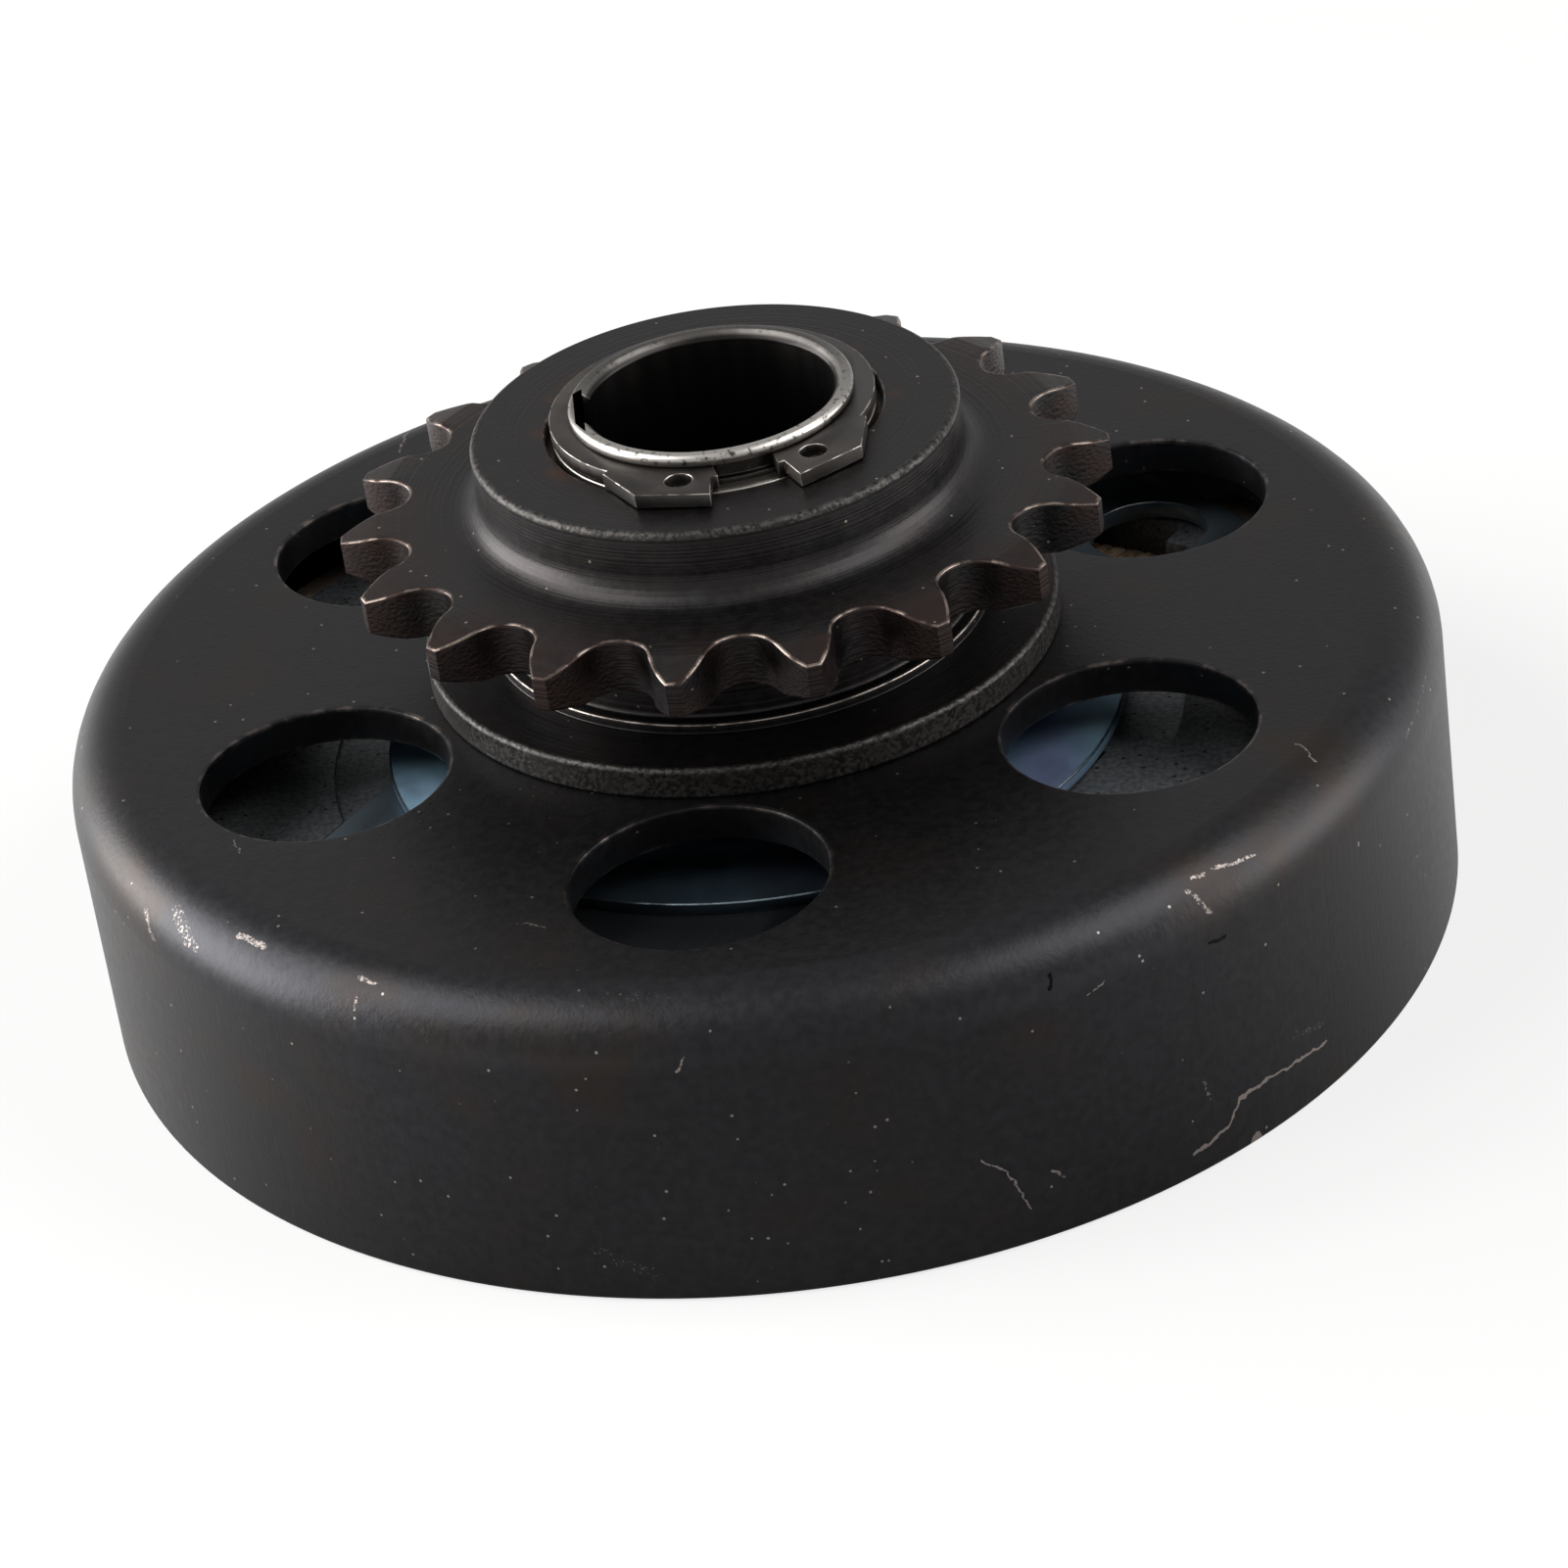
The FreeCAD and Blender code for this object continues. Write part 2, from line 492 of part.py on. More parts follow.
# One gap between two teeth: a round seat for the roller, and two rounded flanks that open outwards.
def add_tooth_gap(sketch):
    pitch = value("pitch_radius")
    seat = value("tooth_seat_radius")
    flank = value("tooth_flank_radius")
    half = math.radians(value("tooth_seat_angle"))
    reach = value("tooth_cut_reach")
    edge_x, edge_y = pitch - seat * math.cos(half), seat * math.sin(half)
    flank_x, flank_y = pitch - (seat + flank) * math.cos(half), (seat + flank) * math.sin(half)
    top_y = flank_y - math.sqrt(flank ** 2 - (reach - flank_x) ** 2)
    start = math.atan2(top_y - flank_y, reach - flank_x)
    end = math.atan2(edge_y - flank_y, edge_x - flank_x)

    seat_circle = Part.Circle(Vector(pitch, 0, 0), UP, seat)
    left_circle = Part.Circle(Vector(flank_x, flank_y, 0), UP, flank)
    right_circle = Part.Circle(Vector(flank_x, -flank_y, 0), UP, flank)
    full = 2 * math.pi
    seat_arc = sketch.addGeometry(Part.ArcOfCircle(seat_circle, math.pi - half, math.pi + half), False)
    left = sketch.addGeometry(Part.ArcOfCircle(left_circle, end % full, start % full), False)
    right = sketch.addGeometry(Part.ArcOfCircle(right_circle, -start % full, -end % full), False)
    mouth = sketch.addGeometry(Part.LineSegment(Vector(reach, top_y, 0), Vector(reach, -top_y, 0)), False)
    constrain(sketch, "PointOnObject", seat_arc, 3, -1)
    constrain(sketch, "DistanceX", -1, 1, seat_arc, 3, pitch, name="pitch_radius")
    constrain(sketch, "Radius", seat_arc, seat, name="tooth_seat_radius")
    constrain(sketch, "Tangent", seat_arc, 1, left, 1)
    constrain(sketch, "Tangent", seat_arc, 2, right, 2)
    constrain(sketch, "DistanceY", -1, 1, seat_arc, 1, edge_y, name="tooth_seat_edge")
    constrain(sketch, "DistanceY", -1, 1, seat_arc, 2, -edge_y, name="-tooth_seat_edge")
    constrain(sketch, "Radius", left, flank, name="tooth_flank_radius")
    constrain(sketch, "Radius", right, flank, name="tooth_flank_radius")
    constrain(sketch, "Coincident", left, 2, mouth, 1)
    constrain(sketch, "Coincident", right, 1, mouth, 2)
    constrain(sketch, "Vertical", mouth)
    constrain(sketch, "DistanceX", -1, 1, mouth, 1, reach, name="tooth_cut_reach")


# The sprocket hub: turned from one piece, then its teeth are cut.
def make_sprocket_hub():
    body = new_body("sprocket_hub")
    blank = revolve(body, [
        ("hub_bore_radius", "hub_foot"),
        ("swage_radius", "hub_foot"),
        ("swage_radius", "drum_inner_face"),
        ("spigot_radius", "drum_inner_face"),
        ("spigot_radius", "drum_height"),
        ("guide_flange_radius", "drum_height"),
        ("guide_flange_radius", "guide_flange_bevel_base"),
        ("guide_flange_bevel_radius", "guide_flange_top"),
        ("neck_step_radius", "guide_flange_top"),
        ("neck_step_radius", "neck_step_top"),
        ("neck_radius", "neck_step_top"),
        ("neck_radius", "sprocket_base"),
        ("tooth_bevel_radius", "sprocket_base"),
        ("tooth_tip_radius", "tooth_bevel_base"),
        ("tooth_tip_radius", "tooth_bevel_top"),
        ("tooth_bevel_radius", "sprocket_top"),
        ("boss_radius", "sprocket_top"),
        ("boss_radius", "boss_bevel_base"),
        ("boss_bevel_radius", "boss_top"),
        ("recess_radius", "boss_top"),
        ("recess_radius", "recess_floor"),
        ("hub_bore_radius", "recess_floor"),
    ])
    round_edges(body, blank, "boss_root_radius", [(value("boss_radius"), value("sprocket_top"))])
    gap = new_sketch(body, "tooth_gap")
    add_tooth_gap(gap)
    cut = body.newObject("PartDesign::Pocket", "tooth_gap_cut")
    cut.Profile = gap
    cut.Reversed = True
    cut.Type = "Length"
    bind(cut, "Length", "tooth_gap_length")
    gap.AttachmentOffset = FreeCAD.Placement(Vector(0, 0, 1), FreeCAD.Rotation())
    bind(gap, "AttachmentOffset.Base.z", "tooth_gap_base")
    doc.recompute()
    polar_copies(body, cut, "tooth_count")
    stand(body, angle="tooth_gap_angle")
    return body


# The bronze bushing: a plain bush pressed in the sprocket hub.
def make_bushing():
    body = new_body("bronze_bushing")
    revolve(body, [
        ("bushing_bore_radius", "hub_foot"),
        ("bushing_radius", "hub_foot"),
        ("bushing_radius", "recess_floor"),
        ("bushing_bore_radius", "recess_floor"),
    ])
    return body


# The sleeve: turned, with a flange at its foot, a seat for the rotor, a journal and a snap ring groove.
def make_sleeve():
    body = new_body("hub_sleeve")
    revolve(body, [
        ("bore_mouth_radius", "sleeve_foot_height"),
        ("sleeve_flange_radius", "sleeve_foot_height"),
        ("sleeve_flange_radius", "rotor_base"),
        ("sleeve_seat_radius", "rotor_base"),
        ("sleeve_seat_radius", "rotor_top"),
        ("sleeve_radius", "rotor_top"),
        ("sleeve_radius", "groove_base"),
        ("groove_radius", "groove_base"),
        ("groove_radius", "groove_top"),
        ("sleeve_radius", "groove_top"),
        ("sleeve_radius", "sleeve_bevel_base"),
        ("sleeve_bevel_radius", "sleeve_top"),
        ("bore_mouth_radius", "sleeve_top"),
        ("bore_radius", "sleeve_bore_top"),
        ("bore_radius", "sleeve_bore_base"),
    ])
    keyway = new_sketch(body, "keyway")
    add_outline(keyway, [
        (None, "-key_half_width"),
        ("key_bottom", "-key_half_width"),
        ("key_bottom", "key_half_width"),
        (None, "key_half_width"),
    ])
    pocket_through(body, keyway)
    stand(body, angle="key_angle")
    return body


# A flat washer: one cylinder cut from another.
def make_washer(label, outer, inner, thickness, base):
    ring = doc.addObject("Part::Cylinder", label + "_blank")
    bind(ring, "Radius", outer)
    bind(ring, "Height", thickness)
    bore = doc.addObject("Part::Cylinder", label + "_bore")
    bind(bore, "Radius", inner)
    bind(bore, "Height", thickness)
    washer = doc.addObject("Part::Cut", label)
    washer.Label = label
    washer.Base = ring
    washer.Tool = bore
    stand(washer, height=base)
    return washer


# The snap ring: a flat ring with an opening between two pierced lugs.
def make_circlip():
    body = new_body("circlip")
    ring = new_sketch(body, "circlip_ring")
    add_circle(ring, "circlip_outer_radius")
    pad(body, ring, "circlip_thickness")
    lug = new_sketch(body, "circlip_lug")
    add_outline(lug, [
        ("lug_near_x", "lug_near_y"),
        ("lug_far_x", "lug_far_y"),
        ("lug_root_x", "lug_root_y"),
        (None, None),
    ])
    lug_pad = pad(body, lug, "circlip_thickness")
    hole = new_sketch(body, "circlip_hole")
    add_circle(hole, "lug_hole_radius", x="lug_hole_x", y="lug_hole_y")
    hole_cut = pocket_through(body, hole)
    mirror_copies(body, [lug_pad, hole_cut], "XZ_Plane", "circlip_second_lug")
    middle = new_sketch(body, "circlip_bore")
    add_circle(middle, "circlip_inner_radius")
    pocket_through(body, middle)
    opening = new_sketch(body, "circlip_opening")
    add_outline(opening, [
        (None, "-half_gap"),
        ("lug_reach", "-half_gap"),
        ("lug_reach", "half_gap"),
        (None, "half_gap"),
    ])
    pocket_through(body, opening)
    stand(body, height="circlip_base", angle="circlip_angle")
    return body


# The four rivet holes that every plate of the rotor and the spider have.
def cut_rivet_holes(body):
    holes = new_sketch(body, body.Label + "_rivet_holes")
    for x in ("rivet_offset", "-rivet_offset"):
        for y in ("rivet_offset", "-rivet_offset"):
            add_circle(holes, "rivet_hole_radius", x=x, y=y)
    pocket_through(body, holes)


def make_disc(label, base):
    body = new_body(label)
    outline = new_sketch(body, label + "_outline")
    add_circle(outline, "disc_radius")
    add_circle(outline, "seat_bore_radius")
    pad(body, outline, "disc_thickness")
    cut_rivet_holes(body)
    stand(body, height=base, angle="rotor_angle")
    return body


# A band of the given half width across a circle of the given radius, about the X axis.
def add_band(sketch, radius, half_width):
    reach = value(radius)
    half = value(half_width)
    angle = math.asin(half / reach)
    edge_x = reach * math.cos(angle)
    circle = Part.Circle(Vector(0, 0, 0), UP, reach)
    right = sketch.addGeometry(Part.ArcOfCircle(circle, 2 * math.pi - angle, 2 * math.pi + angle), False)
    top = sketch.addGeometry(Part.LineSegment(Vector(edge_x, half, 0), Vector(-edge_x, half, 0)), False)
    left = sketch.addGeometry(Part.ArcOfCircle(circle, math.pi - angle, math.pi + angle), False)
    foot = sketch.addGeometry(Part.LineSegment(Vector(-edge_x, -half, 0), Vector(edge_x, -half, 0)), False)
    constrain(sketch, "Coincident", right, 3, -1, 1)
    constrain(sketch, "Coincident", left, 3, -1, 1)
    constrain(sketch, "Coincident", right, 2, top, 1)
    constrain(sketch, "Coincident", top, 2, left, 1)
    constrain(sketch, "Coincident", left, 2, foot, 1)
    constrain(sketch, "Coincident", foot, 2, right, 1)
    constrain(sketch, "Radius", right, reach, name=radius)
    constrain(sketch, "Radius", left, reach, name=radius)
    constrain(sketch, "Horizontal", top)
    constrain(sketch, "Horizontal", foot)
    constrain(sketch, "DistanceY", -1, 1, top, 1, half, name=half_width)
    constrain(sketch, "DistanceY", -1, 1, foot, 1, -half, name="-" + half_width)


# A guide plate: a band across the rotor that holds the shoes' ends and the springs, with a round
# window over each end of each spring.
def make_guide_plate(label, base):
    body = new_body(label)
    outline = new_sketch(body, label + "_outline")
    add_band(outline, "plate_end_radius", "plate_half_width")
    add_circle(outline, "seat_bore_radius")
    pad(body, outline, "guide_plate_thickness")
    windows = new_sketch(body, label + "_windows")
    for x in ("spring_line_radius", "-spring_line_radius"):
        for y in ("spring_window_offset", "-spring_window_offset"):
            add_circle(windows, "spring_window_radius", x=x, y=y)
    pocket_through(body, windows)
    cut_rivet_holes(body)
    stand(body, height=base, angle="rotor_angle")
    return body


# The spider: a thick disc on the sleeve's seat with two keys that reach into the shoes.
def make_spider():
    body = new_body("drive_spider")
    middle = new_sketch(body, "spider_middle")
    add_circle(middle, "spider_radius")
    pad(body, middle, "spider_thickness")
    keys = new_sketch(body, "spider_keys")
    add_outline(keys, [
        ("-spider_key_half_width", "-spider_key_reach"),
        ("spider_key_half_width", "-spider_key_reach"),
        ("spider_key_half_width", "spider_key_reach"),
        ("-spider_key_half_width", "spider_key_reach"),
    ])
    pad(body, keys, "spider_thickness")
    bore = new_sketch(body, "spider_bore")
    add_circle(bore, "seat_bore_radius")
    pocket_through(body, bore)
    cut_rivet_holes(body)
    stand(body, height="spider_base", angle="rotor_angle")
    return body


# The rivets: a shank with a coned head at each end, four times.
def make_rivets():
    rivets = []
    for number in range(4):
        angle = 45 + 90 * number
        sign_x = "" if math.cos(math.radians(angle)) > 0 else "-"
        sign_y = "" if math.sin(math.radians(angle)) > 0 else "-"
        shank = doc.addObject("Part::Cylinder", f"rivet_shank_{number + 1}")
        bind(shank, "Radius", "rivet_radius")
        bind(shank, "Height", "rivet_shank_length")
        bind(shank, "Placement.Base.z", "rotor_base")
        upper = doc.addObject("Part::Cone", f"rivet_upper_head_{number + 1}")
        lower = doc.addObject("Part::Cone", f"rivet_lower_head_{number + 1}")
        for head, wide, narrow, base in (
            (upper, "Radius1", "Radius2", "rotor_top"),
            (lower, "Radius2", "Radius1", "rivet_foot"),
        ):
            bind(head, wide, "rivet_head_radius")
            bind(head, narrow, "rivet_crown_radius")
            bind(head, "Height", "rivet_head_height")
            bind(head, "Placement.Base.z", base)
        for piece in (shank, upper, lower):
            bind(piece, "Placement.Base.x", sign_x + "rivet_offset")
            bind(piece, "Placement.Base.y", sign_y + "rivet_offset")
        rivet = doc.addObject("Part::MultiFuse", f"rivet_{number + 1}")
        rivet.Shapes = [shank, upper, lower]
        rivets.append(rivet)
    group = doc.addObject("Part::Compound", "spider_rivets")
    group.Label = "spider_rivets"
    group.Links = rivets
    stand(group, angle="rotor_angle")
    return group


# A part of a ring about the Y axis: each of its two arcs has a radius and a height where it ends.
def add_half_ring(sketch, rows):
    arcs = []
    for radius, end_height in rows:
        reach = value(radius)
        angle = math.asin(value(end_height) / reach)
        circle = Part.Circle(Vector(0, 0, 0), UP, reach)
        arc = sketch.addGeometry(Part.ArcOfCircle(circle, angle, math.pi - angle), False)
        constrain(sketch, "Coincident", arc, 3, -1, 1)
        constrain(sketch, "Radius", arc, reach, name=radius)
        for end in (1, 2):
            constrain(sketch, "DistanceY", -1, 1, arc, end, value(end_height), name=end_height)
        arcs.append(arc)
    for end in (1, 2):
        corners = [sketch.getPoint(arc, end) for arc in arcs]
        line = sketch.addGeometry(Part.LineSegment(*corners), False)
        for corner, arc in enumerate(arcs, start=1):
            constrain(sketch, "Coincident", line, corner, arc, end)


# The part of a disc beyond a line across it.
def add_segment(sketch, radius, edge):
    reach = value(radius)
    edge_y = value(edge)
    angle = math.asin(edge_y / reach)
    edge_x = reach * math.cos(angle)
    circle = Part.Circle(Vector(0, 0, 0), UP, reach)
    arc = sketch.addGeometry(Part.ArcOfCircle(circle, angle, math.pi - angle), False)
    ends = (Vector(-edge_x, edge_y, 0), Vector(edge_x, edge_y, 0))
    line = sketch.addGeometry(Part.LineSegment(*ends), False)
    constrain(sketch, "Coincident", arc, 3, -1, 1)
    constrain(sketch, "Radius", arc, reach, name=radius)
    constrain(sketch, "Coincident", arc, 2, line, 1)
    constrain(sketch, "Coincident", line, 2, arc, 1)
    constrain(sketch, "Horizontal", line)
    constrain(sketch, "DistanceY", -1, 1, line, 1, edge_y, name=edge)


# A shoe: half a ring of sintered iron about its own middle plane. It has raised faces beside the
# guide plates, a slot for the spider's key, and a pocket with a pin at each end for a spring.
def make_shoe(label, angle):
    body = new_body(label)
    ring = new_sketch(body, label + "_ring")
    add_half_ring(ring, [("shoe_radius", "shoe_end"), ("shoe_inner_radius", "shoe_end")])
    pad(body, ring, "shoe_thickness", midplane=True)
    raised = new_sketch(body, label + "_raised")
    add_segment(raised, "shoe_radius", "pad_edge")
    pad(body, raised, "pad_thickness", midplane=True)
    step = revolve(body, [
        (None, "step_floor"),
        ("shoe_step_radius", "step_floor"),
        ("shoe_step_radius", "pad_thickness"),
        (None, "pad_thickness"),
    ], cut=True)
    mirror_copies(body, [step], "XY_Plane", label + "_lower_step")
    slot = new_sketch(body, label + "_key_slot")
    add_outline(slot, [
        ("-key_slot_half_width", None),
        ("key_slot_half_width", None),
        ("key_slot_half_width", "key_slot_end"),
        ("-key_slot_half_width", "key_slot_end"),
    ])
    pocket_through(body, slot)
    pocket = new_sketch(body, label + "_spring_pocket")
    add_outline(pocket, [
        ("pocket_inner", None),
        ("pocket_outer", None),
        ("pocket_outer", "pocket_end"),
        ("loop_slot_outer", "pocket_end"),
        ("loop_slot_outer", "loop_slot_end"),
        ("loop_slot_inner", "loop_slot_end"),
        ("loop_slot_inner", "pocket_end"),
        ("pocket_inner", "pocket_end"),
    ])
    pocket_cut = pocket_through(body, pocket)
    hole = new_sketch(body, label + "_pin_hole", "YZ_Plane")
    hole.AttachmentOffset = FreeCAD.Placement(Vector(0, 0, 1), FreeCAD.Rotation())
    bind(hole, "AttachmentOffset.Base.z", "pin_inner_end")
    add_circle(hole, "pin_hole_radius", x="pin_offset")
    hole_cut = pocket_through(body, hole, both_ways=False)
    mirror_copies(body, [pocket_cut, hole_cut], "YZ_Plane", label + "_other_end")
    stand(body, height="rotor_middle", angle=angle)
    return body


# A lining: an arc of friction material bonded to a shoe's outside.
def make_lining(label, angle):
    body = new_body(label)
    outline = new_sketch(body, label + "_outline")
    add_half_ring(outline, [
        ("lining_radius", "lining_outer_end"),
        ("lining_seat_radius", "lining_inner_end"),
    ])
    pad(body, outline, "lining_width", midplane=True)
    stand(body, height="rotor_middle", angle=angle)
    return body


# A tight-wound extension spring along Y, with a loop at each end that stands on edge.
# Its turns lie against each other, so they are drawn as one tube with a groove between each two.
def make_spring(label, angle):
    radius = value("spring_radius")
    wire = value("spring_wire")
    half = value("spring_half_length")
    floor = radius - value("spring_groove_depth")
    line_x = value("spring_line_radius")
    points = [Vector(line_x + radius - wire, -half, 0), Vector(line_x + floor, -half, 0)]
    for turn in range(int(value("spring_turns"))):
        start = -half + turn * wire
        points.append(Vector(line_x + radius, start + wire / 2, 0))
        points.append(Vector(line_x + floor, start + wire, 0))
    points.append(Vector(line_x + radius - wire, half, 0))
    face = Part.Face(Part.makePolygon(points + points[:1]))
    coil = face.revolve(Vector(line_x, 0, 0), Vector(0, 1, 0), 360)
    loops = []
    for side in (-1, 1):
        middle = Vector(line_x, side * value("loop_middle"), 0)
        loops.append(Part.makeTorus(value("loop_radius"), wire / 2, middle, Vector(1, 0, 0)))
    spring = doc.addObject("Part::Feature", label)
    spring.Label = label
    spring.Shape = coil.fuse(loops)
    stand(spring, height="rotor_middle", angle=angle)
    return spring


# The two pins of one shoe, one across each spring pocket.
def make_spring_pins(label, angle):
    pins = []
    for number, turn in enumerate((90, -90), start=1):
        pin = doc.addObject("Part::Cylinder", f"{label}_pin_{number}")
        bind(pin, "Radius", "pin_radius")
        bind(pin, "Height", "pin_length")
        pin.Placement = FreeCAD.Placement(Vector(0, 0, 0), FreeCAD.Rotation(Vector(0, 1, 0), turn))
        bind(pin, "Placement.Base.x", "pin_inner_end" if turn > 0 else "-pin_inner_end")
        bind(pin, "Placement.Base.y", "pin_offset")
        pins.append(pin)
    group = doc.addObject("Part::Compound", label)
    group.Label = label
    group.Links = pins
    stand(group, height="rotor_middle", angle=angle)
    return group


pieces = [
    make_drum(),
    make_sprocket_hub(),
    make_bushing(),
    make_sleeve(),
    make_washer("outer_thrust_washer", "outer_washer_radius", "washer_bore_radius",
                "outer_washer_thickness", "outer_washer_base"),
    make_washer("inner_thrust_washer", "inner_washer_radius", "washer_bore_radius",
                "inner_washer_thickness", "inner_washer_base"),
    make_circlip(),
    make_disc("upper_disc", "upper_disc_base"),
    make_disc("lower_disc", "rotor_base"),
    make_guide_plate("upper_guide_plate", "upper_plate_base"),
    make_guide_plate("lower_guide_plate", "lower_plate_base"),
    make_spider(),
    make_rivets(),
]
for number, angle in ((1, "rotor_angle"), (2, "rotor_back_angle")):
    pieces.append(make_shoe(f"shoe_{number}", angle))
    pieces.append(make_lining(f"lining_{number}", angle))
    pieces.append(make_spring(f"spring_{number}", angle))
    pieces.append(make_spring_pins(f"spring_pins_{number}", angle))
doc.recompute()

for thing in doc.Objects:
    if "Invalid" in thing.State or "Error" in thing.State:
        raise RuntimeError(f"{thing.Name} is {thing.State}")
for piece in pieces:
    if piece.Shape.isNull() or not piece.Shape.isValid():
        raise RuntimeError(f"{piece.Label} has no valid shape")

os.makedirs("parts", exist_ok=True)
for piece in pieces:
    piece.Shape.exportStep(f"parts/{piece.Label}.step")
    print(f"{piece.Label}: {len(piece.Shape.Solids)} solid(s), {piece.Shape.Volume:.0f} mm3")
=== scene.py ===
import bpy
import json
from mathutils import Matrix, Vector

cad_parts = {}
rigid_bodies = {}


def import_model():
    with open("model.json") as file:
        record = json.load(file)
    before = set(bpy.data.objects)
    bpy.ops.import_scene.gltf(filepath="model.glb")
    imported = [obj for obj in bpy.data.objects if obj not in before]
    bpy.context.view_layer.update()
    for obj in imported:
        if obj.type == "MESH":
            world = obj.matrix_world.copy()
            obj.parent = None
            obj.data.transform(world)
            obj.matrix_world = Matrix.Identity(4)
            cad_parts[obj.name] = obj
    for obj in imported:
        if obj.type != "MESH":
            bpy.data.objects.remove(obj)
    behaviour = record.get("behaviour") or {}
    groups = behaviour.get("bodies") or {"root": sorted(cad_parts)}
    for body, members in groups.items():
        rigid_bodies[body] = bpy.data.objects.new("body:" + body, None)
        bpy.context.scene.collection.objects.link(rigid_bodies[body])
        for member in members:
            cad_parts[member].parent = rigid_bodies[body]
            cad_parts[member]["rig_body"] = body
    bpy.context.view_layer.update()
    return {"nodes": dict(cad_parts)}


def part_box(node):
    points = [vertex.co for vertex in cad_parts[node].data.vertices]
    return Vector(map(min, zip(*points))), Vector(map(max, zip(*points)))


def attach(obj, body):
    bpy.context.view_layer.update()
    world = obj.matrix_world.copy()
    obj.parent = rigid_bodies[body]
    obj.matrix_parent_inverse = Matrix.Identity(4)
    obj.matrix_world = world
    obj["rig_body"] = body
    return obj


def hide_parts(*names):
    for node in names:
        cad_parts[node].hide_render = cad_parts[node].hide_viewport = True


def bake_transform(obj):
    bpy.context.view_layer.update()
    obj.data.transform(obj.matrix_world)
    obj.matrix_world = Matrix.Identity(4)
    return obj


bl_info = {
    "name": "Centrifugal clutch",
    "version": (1, 0, 0),
    "blender": (4, 5, 0),
    "location": "3D View > Sidebar > Clutch",
    "description": "Finishes a centrifugal clutch with a chain sprocket, piece by piece",
    "category": "Object",
}

import json
import math

import bmesh
import bpy
from mathutils import Matrix, Quaternion, Vector

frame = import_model()

MM = 0.001
FULL_TURN = 2 * math.pi
DRUM_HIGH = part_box("drum")[1]
HUB_LOW, HUB_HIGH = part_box("sprocket_hub")
BUSHING_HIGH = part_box("bronze_bushing")[1]
SLEEVE_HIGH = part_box("hub_sleeve")[1]
SPIDER_LOW, SPIDER_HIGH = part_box("drive_spider")

# Finishes of a turned piece's bands: their places in its list of materials.
PLAIN, EDGE, BRIGHT, ROUGH = range(4)
# How far beside a rounding, and beside a tooth's bevel, a flat gets a point that keeps it flat, and the
# number of steps in the rounding of a tooth's edge.
GUARD = 0.04 * MM
BEVEL_GUARD = 0.05 * MM
EDGE_STEPS = 3

# Directions of the rotor's two axes: across, through both springs, and along, through both shoes.
ROTOR_ANGLE = math.radians(53)
ACROSS = Vector((math.cos(ROTOR_ANGLE), math.sin(ROTOR_ANGLE), 0))
ALONG = Vector((-math.sin(ROTOR_ANGLE), math.cos(ROTOR_ANGLE), 0))


def linear(code):
    """The linear colour of an sRGB hex value, with an alpha of 1."""
    shares = [int(code[i:i + 2], 16) / 255 for i in (1, 3, 5)]
    return [s / 12.92 if s <= 0.04045 else ((s + 0.055) / 1.055) ** 2.4 for s in shares] + [1.0]


def shaded(colour_value, *factors):
    """A colour with its channels made brighter or darker, all by one factor or each by its own."""
    factors = factors if len(factors) == 3 else factors * 3
    return [channel * factor for channel, factor in zip(colour_value[:3], factors)] + [1.0]


def length(name, millimetres, description):
    return bpy.props.FloatProperty(name=name, description=description, default=millimetres * MM,
                                   min=0.0, unit="LENGTH", subtype="DISTANCE", precision=5)


def angle(name, degrees, description):
    return bpy.props.FloatProperty(name=name, description=description, default=math.radians(degrees),
                                   unit="ROTATION", subtype="ANGLE")


def whole_value(name, value, description):
    return bpy.props.IntProperty(name=name, description=description, default=value)


def plain_value(name, value, description):
    return bpy.props.FloatProperty(name=name, description=description, default=value)


def colour(name, code, description):
    return bpy.props.FloatVectorProperty(name=name, description=description, default=linear(code),
                                         size=4, min=0.0, max=1.0, subtype="COLOR")


class DrumSettings(bpy.types.PropertyGroup):
    wall: length("Wall", 3.0, "Thickness of the drum's steel")
    shoulder: length("Shoulder", 5.0, "Outside radius of the rounded shoulder")
    hole: length("Centre hole", 17.05, "Radius of the hole for the sprocket hub")
    window_radius: length("Window radius", 9.6, "Radius of a round window")
    window_circle: length("Window circle", 35.5, "Radius of the circle of windows")
    window_angle: angle("First window", -99.6, "Direction of the first window")
    window_count: whole_value("Windows", 6, "Windows round the face")
    edge: length("Edge", 0.35, "Rounding where a window was punched")
    steel: colour("Black oxide", "#2d2d2f", "Charcoal of the blackened sheet steel")
    blotch: colour("Brown blotches", "#36302c", "Brown stains in the black finish")
    bare: colour("Bare steel", "#8f8681", "Steel that shows in scrapes and specks")


